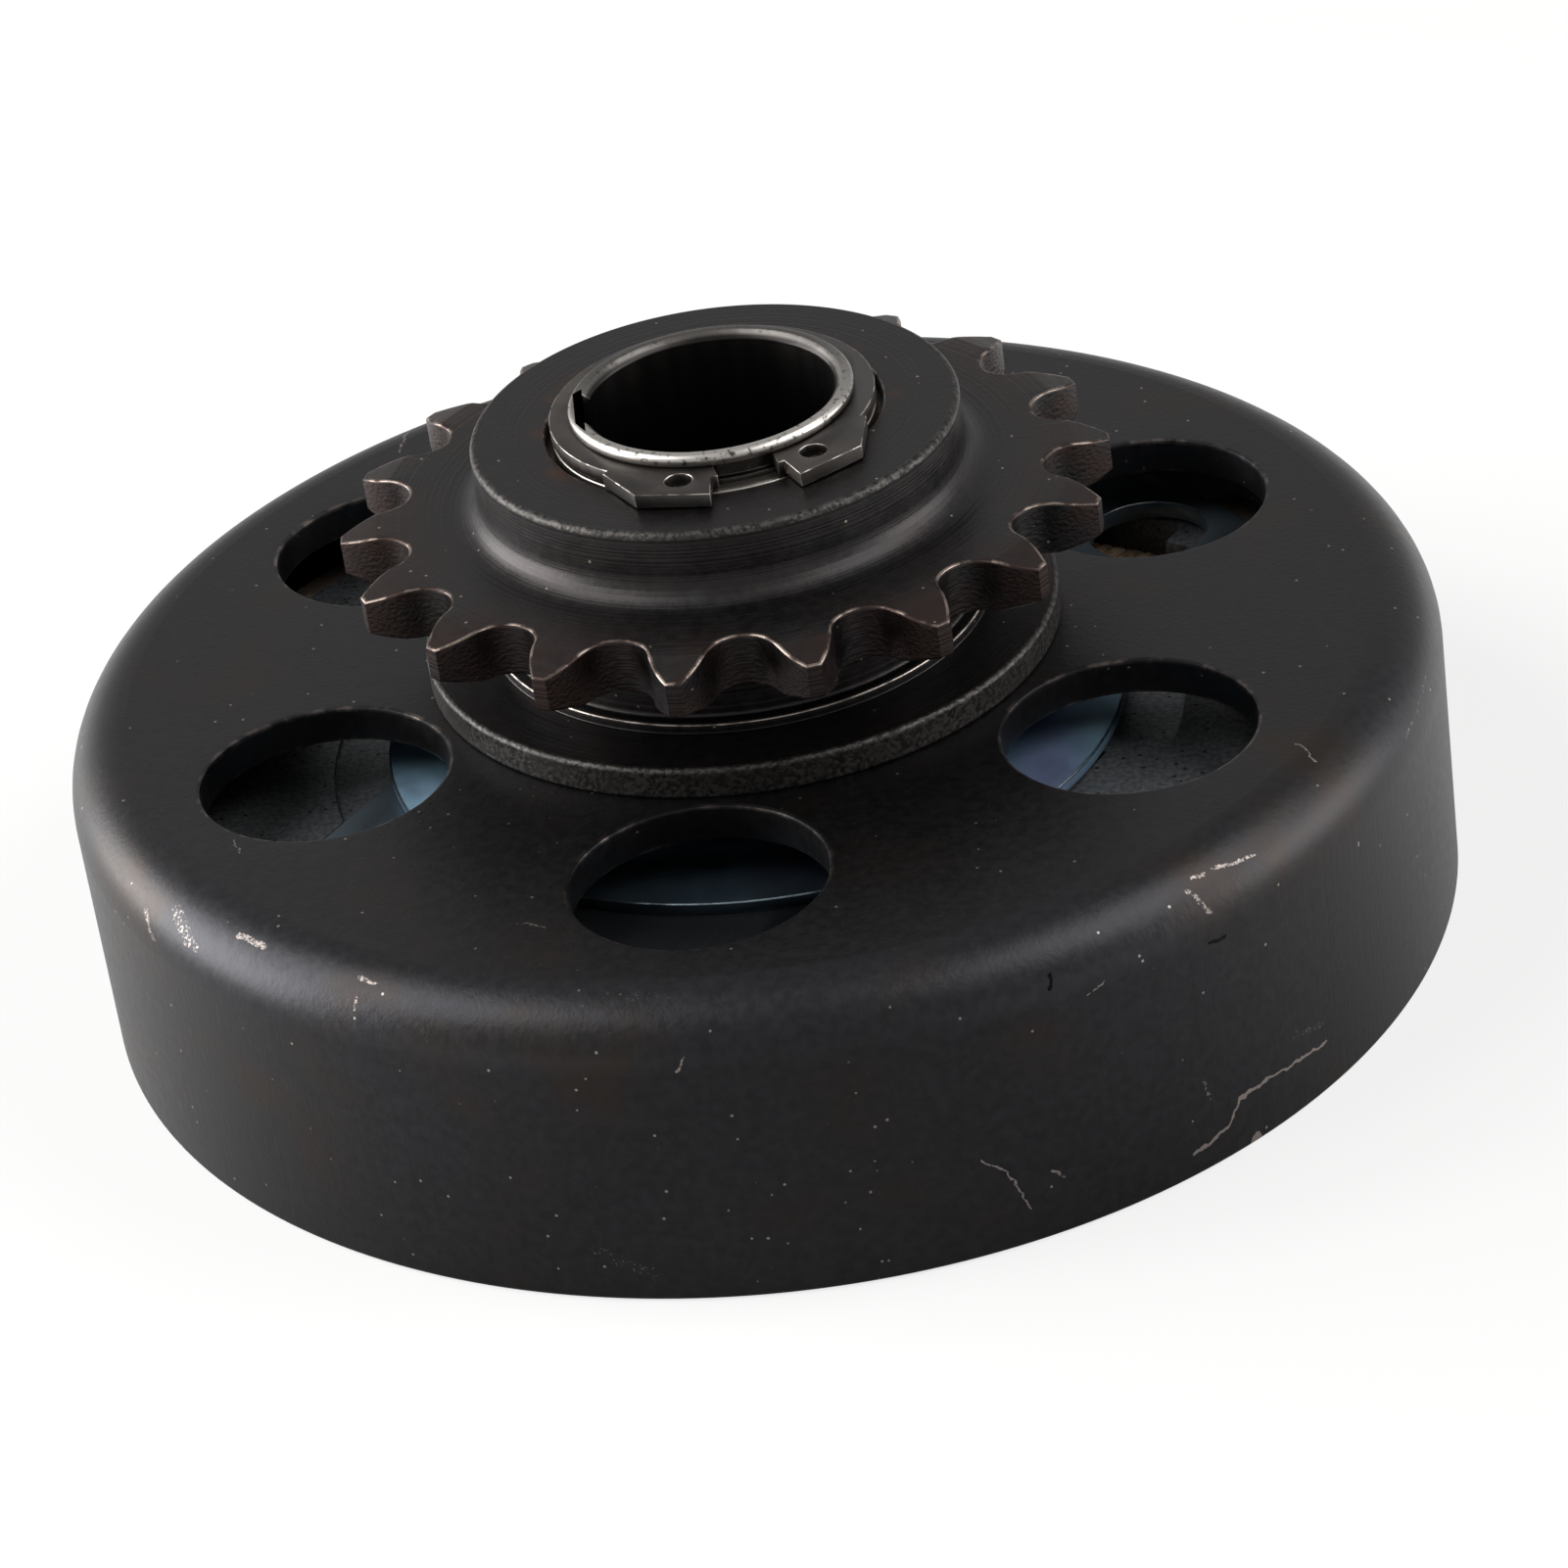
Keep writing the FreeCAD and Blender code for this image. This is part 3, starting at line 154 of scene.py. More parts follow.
class HubSettings(bpy.types.PropertyGroup):
    tooth_count: whole_value("Teeth", 18, "Teeth on the sprocket")
    tooth_angle: angle("First tooth", -101.2, "Direction of one tooth")
    pitch: length("Chain pitch", 9.525, "Pitch of the chain")
    roller: length("Roller", 5.08, "Diameter of the chain's roller")
    flank: length("Flank", 8.0, "Radius of a tooth's rounded flank")
    bevel_width: length("Tooth bevel width", 2.8, "Bevel of the teeth, across")
    bevel_depth: length("Tooth bevel depth", 0.8, "Bevel of the teeth, along the axis")
    edge: length("Edge", 0.22, "Worn rounding of the teeth's edges")
    rim_low: length("Rim's low side", 9.3, "Drum's face to the low side of the toothed rim")
    rim_high: length("Rim's high side", 13.6, "Drum's face to the high side of the toothed rim")
    root: length("Root", 24.0, "Radius where the rim's teeth start")
    flange: length("Flange", 24.85, "Radius of the guide flange")
    flange_height: length("Flange height", 2.5, "Thickness of the guide flange")
    step: length("Step", 19.6, "Radius of the step on the flange")
    step_height: length("Step height", 3.3, "Drum's face to the top of the step")
    neck: length("Neck", 18.6, "Radius of the neck under the rim")
    boss: length("Boss", 18.9, "Radius of the boss")
    fillet: length("Fillet", 2.1, "Radius of the hollow where the boss meets the rim")
    recess: length("Recess", 13.0, "Radius of the recess for the washer")
    collar: length("Collar", 20.0, "Radius of the collar swaged inside the drum")
    barrel: length("Barrel", 17.0, "Radius where the hub passes through the drum")
    steel: colour("Sprocket steel", "#2e2d2d", "Black of the hardened hub")
    brown: colour("Brown steel", "#392f2c", "Brown of the steel near the teeth")
    worn: colour("Worn edges", "#857870", "Steel on the teeth's worn edges")
    rust: colour("Rust", "#5a3b26", "Rust tint beside the washer and on the boss")


class RotorSettings(bpy.types.PropertyGroup):
    spring_line: length("Spring line", 37.0, "Axis to the line of a spring")
    coil: length("Coil", 3.5, "Mean radius of a spring's turns")
    wire: length("Wire", 0.67, "Radius of the spring's wire")
    coil_end: length("Coil end", 13.48, "Middle of a spring to its last turn")
    turns: whole_value("Turns", 10, "Turns in half a spring")
    edge: length("Edge", 0.3, "Rounding on pressed and sintered pieces")
    zinc: colour("Blue zinc", "#8fbbdc", "Blue zinc plate on the discs")
    teal: colour("Teal zinc", "#92b9c9", "Teal tint in the zinc plate")
    violet: colour("Violet zinc", "#8a90bd", "Violet tint in the zinc plate")
    iron: colour("Sintered iron", "#8a8d90", "Grainy grey of the shoes")
    friction: colour("Friction lining", "#4b4138", "Moulded friction material")
    wire_colour: colour("Spring wire", "#c4a78a", "Oil-tempered wire")


class StageSettings(bpy.types.PropertyGroup):
    floor: colour("Floor", "#f1f0ee", "Pale studio floor")
    lens: plain_value("Lens", 126.67, "Focal length on a 36 mm sensor, in millimetres")
    roll: angle("Roll", -8.205, "Tilt of the camera about its view")
    key: plain_value("Key light", 10.0, "Radiance of the left lamp, white is 1")
    side: plain_value("Side light", 5.0, "Radiance of the right lamp")


# Nodes and materials.

def add(tree, kind, inputs=None, out=0, **settings):
    """Adds a shader node with its settings. Inputs are values, or the outputs that feed them."""
    node = tree.nodes.new("ShaderNode" + kind)
    for name, setting in settings.items():
        setattr(node, name, setting)
    for name, source in (inputs or {}).items():
        if isinstance(source, bpy.types.NodeSocket):
            tree.links.new(source, node.inputs[name])
        else:
            node.inputs[name].default_value = source
    return node.outputs[out] if len(node.outputs) else node


def maths(tree, operation, first, second, **settings):
    return add(tree, "Math", {0: first, 1: second}, operation=operation, **settings)


def vectors(tree, operation, first, second, out=0):
    return add(tree, "VectorMath", {0: first, 1: second}, out=out, operation=operation)


def ramp(tree, value, start, end, low=0.0, high=1.0, smooth=False):
    """Goes from low, where the value is at start, to high, where it is at end, and no further."""
    return add(tree, "MapRange", {"Value": value, "From Min": start, "From Max": end, "To Min": low,
                                  "To Max": high}, interpolation_type="SMOOTHSTEP" if smooth else "LINEAR")


def new_material(name):
    """A material, its nodes, its shader's inputs, and a point's place on the piece in millimetres."""
    material = bpy.data.materials.new(name)
    material.use_nodes = True
    tree = material.node_tree
    place = add(tree, "TexCoord", out="Object")
    place = add(tree, "VectorMath", {0: place, "Scale": 1 / MM}, operation="SCALE")
    return material, tree, tree.nodes["Principled BSDF"].inputs, place


def surface(tree, shader, base, metallic, roughness, mask=None):
    """Gives a shader its colour, metal and roughness, which a mask may take from one value to another."""
    tree.links.new(base, shader["Base Color"])
    shader["Metallic"].default_value = metallic
    if mask is None:
        shader["Roughness"].default_value = roughness
        return
    gloss = ramp(tree, mask, 0.0, 1.0, *roughness)
    tree.links.new(gloss, shader["Roughness"])


def from_axis(tree, place):
    """Distance from the shaft's axis and height, in millimetres."""
    flat = vectors(tree, "MULTIPLY", place, (1, 1, 0))
    radius = add(tree, "VectorMath", {0: flat}, out="Value", operation="LENGTH")
    height = add(tree, "SeparateXYZ", {0: place}, out="Z")
    return radius, height


def patches(tree, place, size, low=0.2, high=0.8, stretch=(1, 1, 1), detail=3.0):
    """A mask of soft patches of the given size in millimetres: the lower its limits, the more they cover."""
    scaled = vectors(tree, "MULTIPLY", place, Vector(stretch) / size)
    noise = add(tree, "TexNoise", {"Vector": scaled, "Scale": 1.0, "Detail": detail})
    return ramp(tree, noise, low, high, smooth=True)


def specks(tree, place, spacing, radius, share):
    """A mask of dots: their spacing and radius in millimetres, and the share of places that has one."""
    inputs = {"Vector": place, "Scale": 1 / spacing}
    distance = add(tree, "TexVoronoi", inputs, out="Distance")
    chance = add(tree, "TexVoronoi", inputs, out="Color")
    dot = ramp(tree, distance, radius / spacing, radius / spacing / 2, smooth=True)
    chosen = maths(tree, "LESS_THAN", chance, share)
    return maths(tree, "MULTIPLY", dot, chosen)


def blend_colours(tree, mask, first, second):
    return add(tree, "Mix", {0: mask, 6: first, 7: second}, out=2, data_type="RGBA")


def relief(tree, shader, height, depth, normal=None):
    """Bumps of the given depth in millimetres, over those that are there already."""
    inputs = {"Height": height, "Distance": depth * MM}
    if normal:
        inputs["Normal"] = normal
    bump = add(tree, "Bump", inputs)
    tree.links.new(bump, shader["Normal"])
    return bump


# Where the drum has been knocked and scraped: from and to, each as degrees round from the front and as
# millimetres up the wall and on over the shoulder, then the width and how much of the coat has gone.
SCRAPES_LEFT = [
    ((-62.5, 22.8), (-60.5, 20.8), 0.9, 0.54), ((-58.5, 25.0), (-56.0, 23.5), 2.4, 0.45),
    ((-56.0, 23.0), (-54.5, 23.0), 1.6, 0.46), ((-50.5, 26.3), (-47.5, 26.3), 1.2, 0.6),
    ((-37.0, 26.3), (-35.5, 26.3), 0.8, 0.56), ((-36.5, 23.0), (-36.5, 24.5), 0.4, 0.54),
    ((-63.0, 33.5), (-60.5, 33.0), 0.3, 0.6), ((-27.0, 36.0), (-24.0, 36.0), 0.25, 0.6),
]
SCRAPES_FRONT = [
    ((-10.0, 20.0), (-9.0, 21.3), 0.3, 0.6), ((-15.5, 27.8), (-9.5, 27.3), 1.6, 0.36),
    ((6.5, 19.5), (-1.5, 12.3), 1.0, 0.3), ((-18.5, 4.5), (-14.0, 2.5), 1.8, 0.38),
    ((12.0, 8.3), (14.0, 6.8), 0.25, 0.7), ((14.0, 6.8), (15.5, 3.0), 0.25, 0.7),
    ((17.5, 5.8), (18.5, 5.0), 0.5, 0.6), ((22.0, 19.3), (23.5, 19.8), 0.25, 0.6),
]
SCRAPES_RIGHT = [
    ((36.0, 25.0), (40.0, 24.0), 0.9, 0.55), ((34.0, 25.3), (35.0, 25.0), 0.8, 0.55),
    ((33.0, 24.3), (34.0, 21.5), 0.9, 0.52), ((62.5, 21.5), (71.0, 22.5), 0.9, 0.4),
    ((53.5, 30.0), (52.0, 27.3), 0.25, 0.7), ((30.0, 2.0), (33.5, 2.8), 0.45, 0.8),
    ((33.5, 2.8), (35.0, 4.5), 0.4, 0.8), ((35.0, 4.5), (38.0, 4.8), 0.5, 0.8),
    ((38.0, 4.8), (45.0, 4.3), 0.35, 0.8), ((31.5, 7.8), (32.0, 6.0), 0.8, 0.45),
    ((41.5, 6.8), (45.0, 6.0), 1.3, 0.4), ((36.0, 0.3), (36.5, 0.5), 1.2, 0.8),
]
SCRAPES_BEHIND = [
    ((110.0, 15.0), (118.0, 11.0), 0.5, 0.6), ((160.0, 20.0), (163.0, 8.0), 0.4, 0.6),
    ((-120.0, 9.0), (-108.0, 12.5), 0.5, 0.6), ((-150.0, 27.0), (-146.0, 31.0), 0.4, 0.6),
]
# Two small dents, in the same columns, drawn as near-black marks: painted shade in the dents. Their last
# number is how dark they are.
DENT_SHADES = [((19.5, 22.3), (19.0, 21.0), 0.5, 1.0), ((33.5, 18.8), (35.0, 18.8), 0.6, 0.8)]


def scrape_group():
    """One scrape: 1 on the line from one point to another, down to 0 at half the width from it."""
    tree = bpy.data.node_groups.new("scrape", "ShaderNodeTree")
    for name, kind in (("Place", "NodeSocketVector"), ("Start", "NodeSocketVector"),
                       ("End", "NodeSocketVector"), ("Width", "NodeSocketFloat"),
                       ("Depth", "NodeSocketFloat")):
        tree.interface.new_socket(name, in_out="INPUT", socket_type=kind)
    tree.interface.new_socket("Mask", in_out="OUTPUT", socket_type="NodeSocketFloat")
    given = tree.nodes.new("NodeGroupInput").outputs
    along = vectors(tree, "SUBTRACT", given["End"], given["Start"])
    to_place = vectors(tree, "SUBTRACT", given["Place"], given["Start"])
    reach = vectors(tree, "DOT_PRODUCT", to_place, along, out="Value")
    whole = vectors(tree, "DOT_PRODUCT", along, along, out="Value")
    share = maths(tree, "DIVIDE", reach, whole, use_clamp=True)
    nearest = add(tree, "VectorMath", {0: along, "Scale": share}, operation="SCALE")
    gap = vectors(tree, "DISTANCE", to_place, nearest, out="Value")
    edge = maths(tree, "MULTIPLY", given["Width"], 0.5)
    core = maths(tree, "MULTIPLY", given["Width"], 0.2)
    mask = ramp(tree, gap, edge, core, high=given["Depth"], smooth=True)
    tree.links.new(mask, tree.nodes.new("NodeGroupOutput").inputs["Mask"])
    return tree


def rolled_out(tree, place, radius):
    """The drum's wall and shoulder rolled out flat, from the front, in millimetres."""
    outside = radius / MM
    x = add(tree, "SeparateXYZ", {0: place}, out="X")
    y = add(tree, "SeparateXYZ", {0: place}, out="Y")
    from_shaft, height = from_axis(tree, place)
    behind = maths(tree, "MULTIPLY", y, -1.0)
    turn = maths(tree, "ARCTAN2", x, behind)
    arc = maths(tree, "MULTIPLY", turn, outside)
    inward = maths(tree, "SUBTRACT", outside, from_shaft)
    climb = maths(tree, "ADD", height, inward)
    return add(tree, "CombineXYZ", {"X": arc, "Y": climb})


def scraped(tree, place, radius, group, scrapes):
    """A mask of the listed scrapes, in broken bits where little of the coat has gone."""
    shake = add(tree, "TexNoise", {"Vector": place, "Scale": 0.9, "Detail": 3.0}, out="Color")
    shake = vectors(tree, "SUBTRACT", shake, (0.5, 0.5, 0.5))
    flat = rolled_out(tree, place, radius)
    flat = add(tree, "VectorMath", {0: shake, 1: (1.0, 1.0, 0), 2: flat}, operation="MULTIPLY_ADD")
    mask = None
    for start, end, width, depth in scrapes:
        ends = [(math.radians(turn) * radius / MM, climb, 0) for turn, climb in (start, end)]
        one = add(tree, "Group", {"Place": flat, "Start": ends[0], "End": ends[1], "Width": width,
                                  "Depth": depth}, node_tree=group)
        mask = maths(tree, "MAXIMUM", mask, one) if mask else one
    broken = add(tree, "TexNoise", {"Vector": place, "Scale": 4.5, "Detail": 4.0})
    over = maths(tree, "SUBTRACT", mask, broken)
    return ramp(tree, over, -0.04, 0.2)


def black_oxide(settings):
    """Cold-drawn steel, pressed, brushed and chemically blackened. The coat is dark and oily: a broad
    satin sheen, a little brown where it is thin, with bare steel in specks and scrapes."""
    material, tree, shader, place = new_material("black oxide steel")
    stained = patches(tree, place, 11, 0.46, 0.8, stretch=(1, 1, 1.3), detail=9)
    mottled = patches(tree, place, 0.8)
    base = blend_colours(tree, mottled, settings.steel[:], shaded(settings.steel, 1.31, 1.3, 1.31))
    base = blend_colours(tree, stained, base, settings.blotch[:])
    # Specks of 0.1 mm on the real drum, drawn 0.2 mm wide so that they show.
    bare = specks(tree, place, 1.2, 0.15, 0.3)
    scrape = scrape_group()
    scrapes = SCRAPES_LEFT + SCRAPES_FRONT + SCRAPES_RIGHT + SCRAPES_BEHIND
    gone = scraped(tree, place, DRUM_HIGH.x, scrape, scrapes)
    bare = maths(tree, "MAXIMUM", bare, gone)
    base = blend_colours(tree, bare, base, settings.bare[:])
    # Painted shade: the dents are darkened to near black.
    dent_shade = scraped(tree, place, DRUM_HIGH.x, scrape, DENT_SHADES)
    base = blend_colours(tree, dent_shade, base, linear("#141414"))
    surface(tree, shader, base, 1.0, (0.37, 0.43), mottled)
    # Brushing runs up the wall and across the shoulder: strokes 0.3 mm apart and some 6 mm long.
    brushed = patches(tree, place, 0.3, stretch=(1, 1, 0.05))
    pebbled = patches(tree, place, 0.5)
    rough = maths(tree, "ADD", brushed, pebbled)
    relief(tree, shader, rough, 0.006)
    return material


def sprocket_steel(settings):
    """Turned and hardened steel, black from the heat and brown towards the teeth, with rings from the
    lathe's tool."""
    material, tree, shader, place = new_material("hardened turned steel")
    radius, height = from_axis(tree, place)
    mottled = patches(tree, place, 0.9)
    base = blend_colours(tree, mottled, settings.steel[:], shaded(settings.steel, 1.3))
    at_teeth = ramp(tree, radius, 21.5, 27.0, low=0.15)
    browned = patches(tree, place, 5, 0.3, 0.6)
    browned = maths(tree, "MULTIPLY", at_teeth, browned)
    base = blend_colours(tree, browned, base, settings.brown[:])
    near_bore = ramp(tree, radius, 15.0, 13.2)
    rusty = patches(tree, place, 3.5, 0.5, 0.75)
    rusty = maths(tree, "MULTIPLY", near_bore, rusty)
    base = blend_colours(tree, rusty, base, settings.rust[:])
    base = blend_colours(tree, specks(tree, place, 1.3, 0.15, 0.3), base, linear("#a3938b"))
    surface(tree, shader, base, 1.0, (0.36, 0.44), mottled)
    # The tool's rings are 0.2 mm apart on the real hub, and 0.3 mm here so that they show.
    ring_place = add(tree, "CombineXYZ", {"X": radius, "Y": height})
    rings = patches(tree, ring_place, 0.3, detail=1)
    grain = patches(tree, place, 0.45)
    bump = relief(tree, shader, rings, 0.018)
    relief(tree, shader, grain, 0.007, normal=bump)
    return material


def rough_turned():
    """The flange's rim and the boss's edge: left rough and rubbed, a dull grey full of small grains."""
    material, tree, shader, place = new_material("rough turned rim")
    grains = patches(tree, place, 0.4, 0.35, 0.65)
    rubbed = patches(tree, place, 3.0, 0.45, 0.75, detail=4)
    base = blend_colours(tree, grains, linear("#292827"), linear("#4d4a48"))
    base = blend_colours(tree, rubbed, base, linear("#3a3836"))
    surface(tree, shader, base, 1.0, 0.5)
    relief(tree, shader, grains, 0.018)
    return material


def edge_wear_and_highlight(name, steel, worn, low=0.34, high=0.56):
    """An edge where handling has rubbed the black coat through to bare steel, in broken stretches. On the
    hub's step the lighter steel is a painted highlight instead.
    """
    material, tree, shader, place = new_material(name)
    rubbed = patches(tree, place, 1.6, low, high, detail=5)
    base = blend_colours(tree, rubbed, steel, worn)
    surface(tree, shader, base, 1.0, (0.45, 0.33), rubbed)
    relief(tree, shader, patches(tree, place, 0.35), 0.006)
    return material


def painted_front_shade(tree, place, base):
    """A rotor plate's colour with painted shade: darker towards its front edge, where little light reaches
    inside the drum.
    """
    front = vectors(tree, "DOT_PRODUCT", place, (-0.17, -0.985, 0), out="Value")
    # Mask of the painted shade, strongest at the front edge.
    oily = ramp(tree, front, 19.0, 24.0, high=0.9, smooth=True)
    return blend_colours(tree, oily, base, linear("#1b1a19"))


def ground_steel(name, code, worn_code, roughness, metallic=1.0, oiled=False):
    """Bare steel, turned or ground: bright, with fine tool marks and duller stains."""
    material, tree, shader, place = new_material(name)
    stained = patches(tree, place, 7, 0.3, 0.75, detail=7)
    base = blend_colours(tree, stained, linear(code), linear(worn_code))
    # With oiled set, the plate's front edge gets painted shade.
    if oiled:
        base = painted_front_shade(tree, place, base)
    surface(tree, shader, base, metallic, (roughness - 0.05, roughness + 0.08), stained)
    relief(tree, shader, patches(tree, place, 0.3), 0.005)
    return material


def blue_zinc(settings):
    """Zinc plate with a clear blue passivate: satin pale blue-grey that drifts to teal and violet."""
    material, tree, shader, place = new_material("blue passivated zinc plate")
    tealish = patches(tree, place, 16, 0.3, 0.75, detail=1)
    purplish = patches(tree, place, 12, 0.45, 0.8, detail=1)
    base = blend_colours(tree, tealish, settings.zinc[:], settings.teal[:])
    base = blend_colours(tree, purplish, base, settings.violet[:])
    # Painted shade towards the front edge.
    base = painted_front_shade(tree, place, base)
    surface(tree, shader, base, 0.65, (0.3, 0.45), patches(tree, place, 2.2, 0.3, 0.75))
    relief(tree, shader, patches(tree, place, 0.5), 0.001)
    return material


def sintered_iron(settings):
    """Pressed and sintered iron powder: grey, matt, with grains and pores of 0.2 to 0.5 mm."""
    material, tree, shader, place = new_material("sintered iron")
    grain = patches(tree, place, 0.45, 0.3, 0.7)
    pores = specks(tree, place, 0.9, 0.22, 0.5)
    oily = patches(tree, place, 9, 0.4, 0.7)
    base = blend_colours(tree, grain, shaded(settings.iron, 0.5), settings.iron[:])
    base = blend_colours(tree, pores, base, linear("#26282a"))
    surface(tree, shader, base, 0.6, (0.5, 0.4), oily)
    height = maths(tree, "SUBTRACT", grain, pores)
    relief(tree, shader, height, 0.012)
    return material


def friction_lining(settings):
    """Moulded friction material: brown-grey resin with brass and fibre crumbs, dull and dusty."""
    material, tree, shader, place = new_material("moulded friction lining")
    dusty = patches(tree, place, 3.0, 0.35, 0.7)
    crumbs = specks(tree, place, 1.1, 0.28, 0.35)
    base = blend_colours(tree, dusty, settings.friction[:], shaded(settings.friction, 1.7))
    base = blend_colours(tree, crumbs, base, linear("#8a7248"))
    surface(tree, shader, base, 0.0, 0.85)
    relief(tree, shader, patches(tree, place, 0.5), 0.03)
    return material


def bronze():
    """Sintered bronze, machined and oiled: warm yellow-brown with dark oily patches."""
    material, tree, shader, place = new_material("oiled bronze")
    oily = patches(tree, place, 3.0, 0.35, 0.65)
    base = blend_colours(tree, oily, linear("#9a7443"), linear("#5b432a"))
    surface(tree, shader, base, 1.0, (0.32, 0.45), oily)
    relief(tree, shader, specks(tree, place, 0.5, 0.12, 0.6), -0.006)
    return material


def spring_wire(settings):
    """Oil-tempered spring wire: brown-grey, smooth and slightly glossy, darker in patches."""
    material, tree, shader, place = new_material("oil-tempered spring wire")
    aged = patches(tree, place, 1.8, 0.35, 0.7)
    base = blend_colours(tree, aged, settings.wire_colour[:], shaded(settings.wire_colour, 0.4))
    surface(tree, shader, base, 0.6, (0.2, 0.3), aged)
    return material


def sleeve_steel():
    """Turned and hardened steel: dark, and worn bright on the rim at its top, with a painted highlight that
    makes the rim brighter towards the front.
    """
    material, tree, shader, place = new_material("worn turned steel")
    radius, height = from_axis(tree, place)
    top = SLEEVE_HIGH.z / MM
    # Painted highlight: the bright rim is lighter towards the front and darker at the back.
    front = add(tree, "SeparateXYZ", {0: place}, out="Y")
    front = ramp(tree, front, 5.0, -8.0, 0.12, 0.75)
    rim = ramp(tree, height, top - 1.0, top - 0.3)
    bright = maths(tree, "MULTIPLY", rim, front)
    base = blend_colours(tree, bright, linear("#3b3836"), linear("#cfcac4"))
    nicks = patches(tree, place, 0.5, 0.55, 0.7, detail=4)
    base = blend_colours(tree, nicks, base, linear("#4a4643"))
    in_bore = ramp(tree, radius, 9.9, 9.7)
    base = blend_colours(tree, in_bore, base, linear("#2c2a29"))
    surface(tree, shader, base, 1.0, 0.34)
    ring_place = add(tree, "CombineXYZ", {"X": radius, "Y": height})
    relief(tree, shader, patches(tree, ring_place, 0.25, detail=1), 0.005)
    return material


# Shapes.

def rounded(corners, steps=5):
    """An outline whose corners are rounded: x, y, radius, finish of the rounding, finish of what comes
    after it. A point close to each end of a rounding keeps the flats between them flat."""
    outline = []
    before = PLAIN
    for number, corner in enumerate(corners):
        here = Vector(corner[:2])
        radius, finish, after = (*corner[2:], *(0, PLAIN, PLAIN)[len(corner) - 2:])
        if not radius:
            outline.append((here, after))
            before = after
            continue
        back = (Vector(corners[number - 1][:2]) - here).normalized()
        on = (Vector(corners[(number + 1) % len(corners)][:2]) - here).normalized()
        half = back.angle(on) / 2
        middle = here + (back + on).normalized() * radius / math.sin(half)
        start = here + back * radius / math.tan(half)
        end = here + on * radius / math.tan(half)
        outline.append((start + back * GUARD, before))
        for step in range(steps + 1):
            spoke = (start - middle).slerp(end - middle, step / steps)
            outline.append((middle + spoke * radius, finish if step < steps else after))
        outline.append((end + on * GUARD, after))
        before = after
    return outline


def skin(name, rings):
    """A closed mesh over rings of points, each with the finish of the band after it."""
    count = len(rings[0][0])
    faces, finishes = [], []
    for ring, (points, finish) in enumerate(rings):
        following = (ring + 1) % len(rings)
        for i in range(count):
            j = (i + 1) % count
            faces.append((ring * count + i, ring * count + j, following * count + j, following * count + i))
            finishes.append(finish)
    mesh = bpy.data.meshes.new(name)
    mesh.from_pydata([point for points, finish in rings for point in points], [], faces)
    mesh.polygons.foreach_set("material_index", finishes)
    shape = bmesh.new()
    shape.from_mesh(mesh)
    bmesh.ops.remove_doubles(shape, verts=shape.verts, dist=0.001 * MM)
    bmesh.ops.recalc_face_normals(shape, faces=shape.faces)
    shape.to_mesh(mesh)
    shape.free()
    return mesh


def ring_points(radius, height, angles):
    return [Vector((radius * math.cos(a), radius * math.sin(a), height)) for a in angles]


def turned(name, outline, segments=256):
    """A mesh turned about the shaft's axis from an outline of radii and heights."""
    angles = [FULL_TURN * i / segments for i in range(segments)]
    return skin(name, [(ring_points(point.x, point.y, angles), finish) for point, finish in outline])


def multiplied(mesh, places):
    """Makes of a mesh as many copies as there are places, each moved by its own."""
    copies = bmesh.new()
    for place in places:
        copy = mesh.copy()
        copy.transform(place)
        copies.from_mesh(copy)
        bpy.data.meshes.remove(copy)
    copies.to_mesh(mesh)
    copies.free()


def object_of(shape):
    """Puts a mesh, curve, lamp or camera in the scene, as an object of the same name."""
    piece = bpy.data.objects.new(shape.name, shape)
    bpy.context.scene.collection.objects.link(piece)
    return piece


def mesh_of(piece):
    """The mesh of a piece with all that its modifiers or its curve's depth do."""
    graph = bpy.context.evaluated_depsgraph_get()
    mesh = bpy.data.meshes.new_from_object(piece.evaluated_get(graph), depsgraph=graph)
    mesh.name = piece.name
    return mesh


def apply_modifiers(piece):
    mesh = mesh_of(piece)
    piece.modifiers.clear()
    piece.data = mesh


def give_materials(mesh, materials):
    """Puts new materials on a mesh, whose faces keep their places in the list."""
    finishes = [face.material_index for face in mesh.polygons]
    mesh.materials.clear()
    for material in materials:
        mesh.materials.append(material)
    mesh.polygons.foreach_set("material_index", finishes)


def finish_piece(piece, node, materials, sharp=32):
    """Shades a piece, gives it its materials, and has it stand for a CAD node on that node's body."""
    give_materials(piece.data, materials)
    if sharp:
        piece.data.shade_smooth()
        piece.data.set_sharp_from_angle(angle=math.radians(sharp))
    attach(piece, frame["nodes"][node]["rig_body"])
    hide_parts(node)
    return piece


def softened(node, name, width, materials):
    """A copy of a CAD node whose sharp edges are rounded, which takes the second material there."""
    mesh = frame["nodes"][node].data.copy()
    mesh.name = name
    shape = bmesh.new()
    shape.from_mesh(mesh)
    bmesh.ops.remove_doubles(shape, verts=shape.verts, dist=0.002 * MM)
    bmesh.ops.dissolve_limit(shape, angle_limit=math.radians(0.6), verts=shape.verts, edges=shape.edges)
    shape.to_mesh(mesh)
    shape.free()
    piece = object_of(mesh)
    give_materials(mesh, materials)
    mesh.shade_smooth()
    bevel = piece.modifiers.new("rounded edges", "BEVEL")
    bevel.width = width
    bevel.segments = 2
    bevel.limit_method = "ANGLE"
    bevel.angle_limit = math.radians(35)
    bevel.material = min(EDGE, len(materials) - 1)
    bevel.harden_normals = True
    apply_modifiers(piece)
    return finish_piece(piece, node, materials, sharp=0)


def dress(node, material):
    """Gives a CAD node that stays as it is a better material."""
    give_materials(frame["nodes"][node].data, [material])


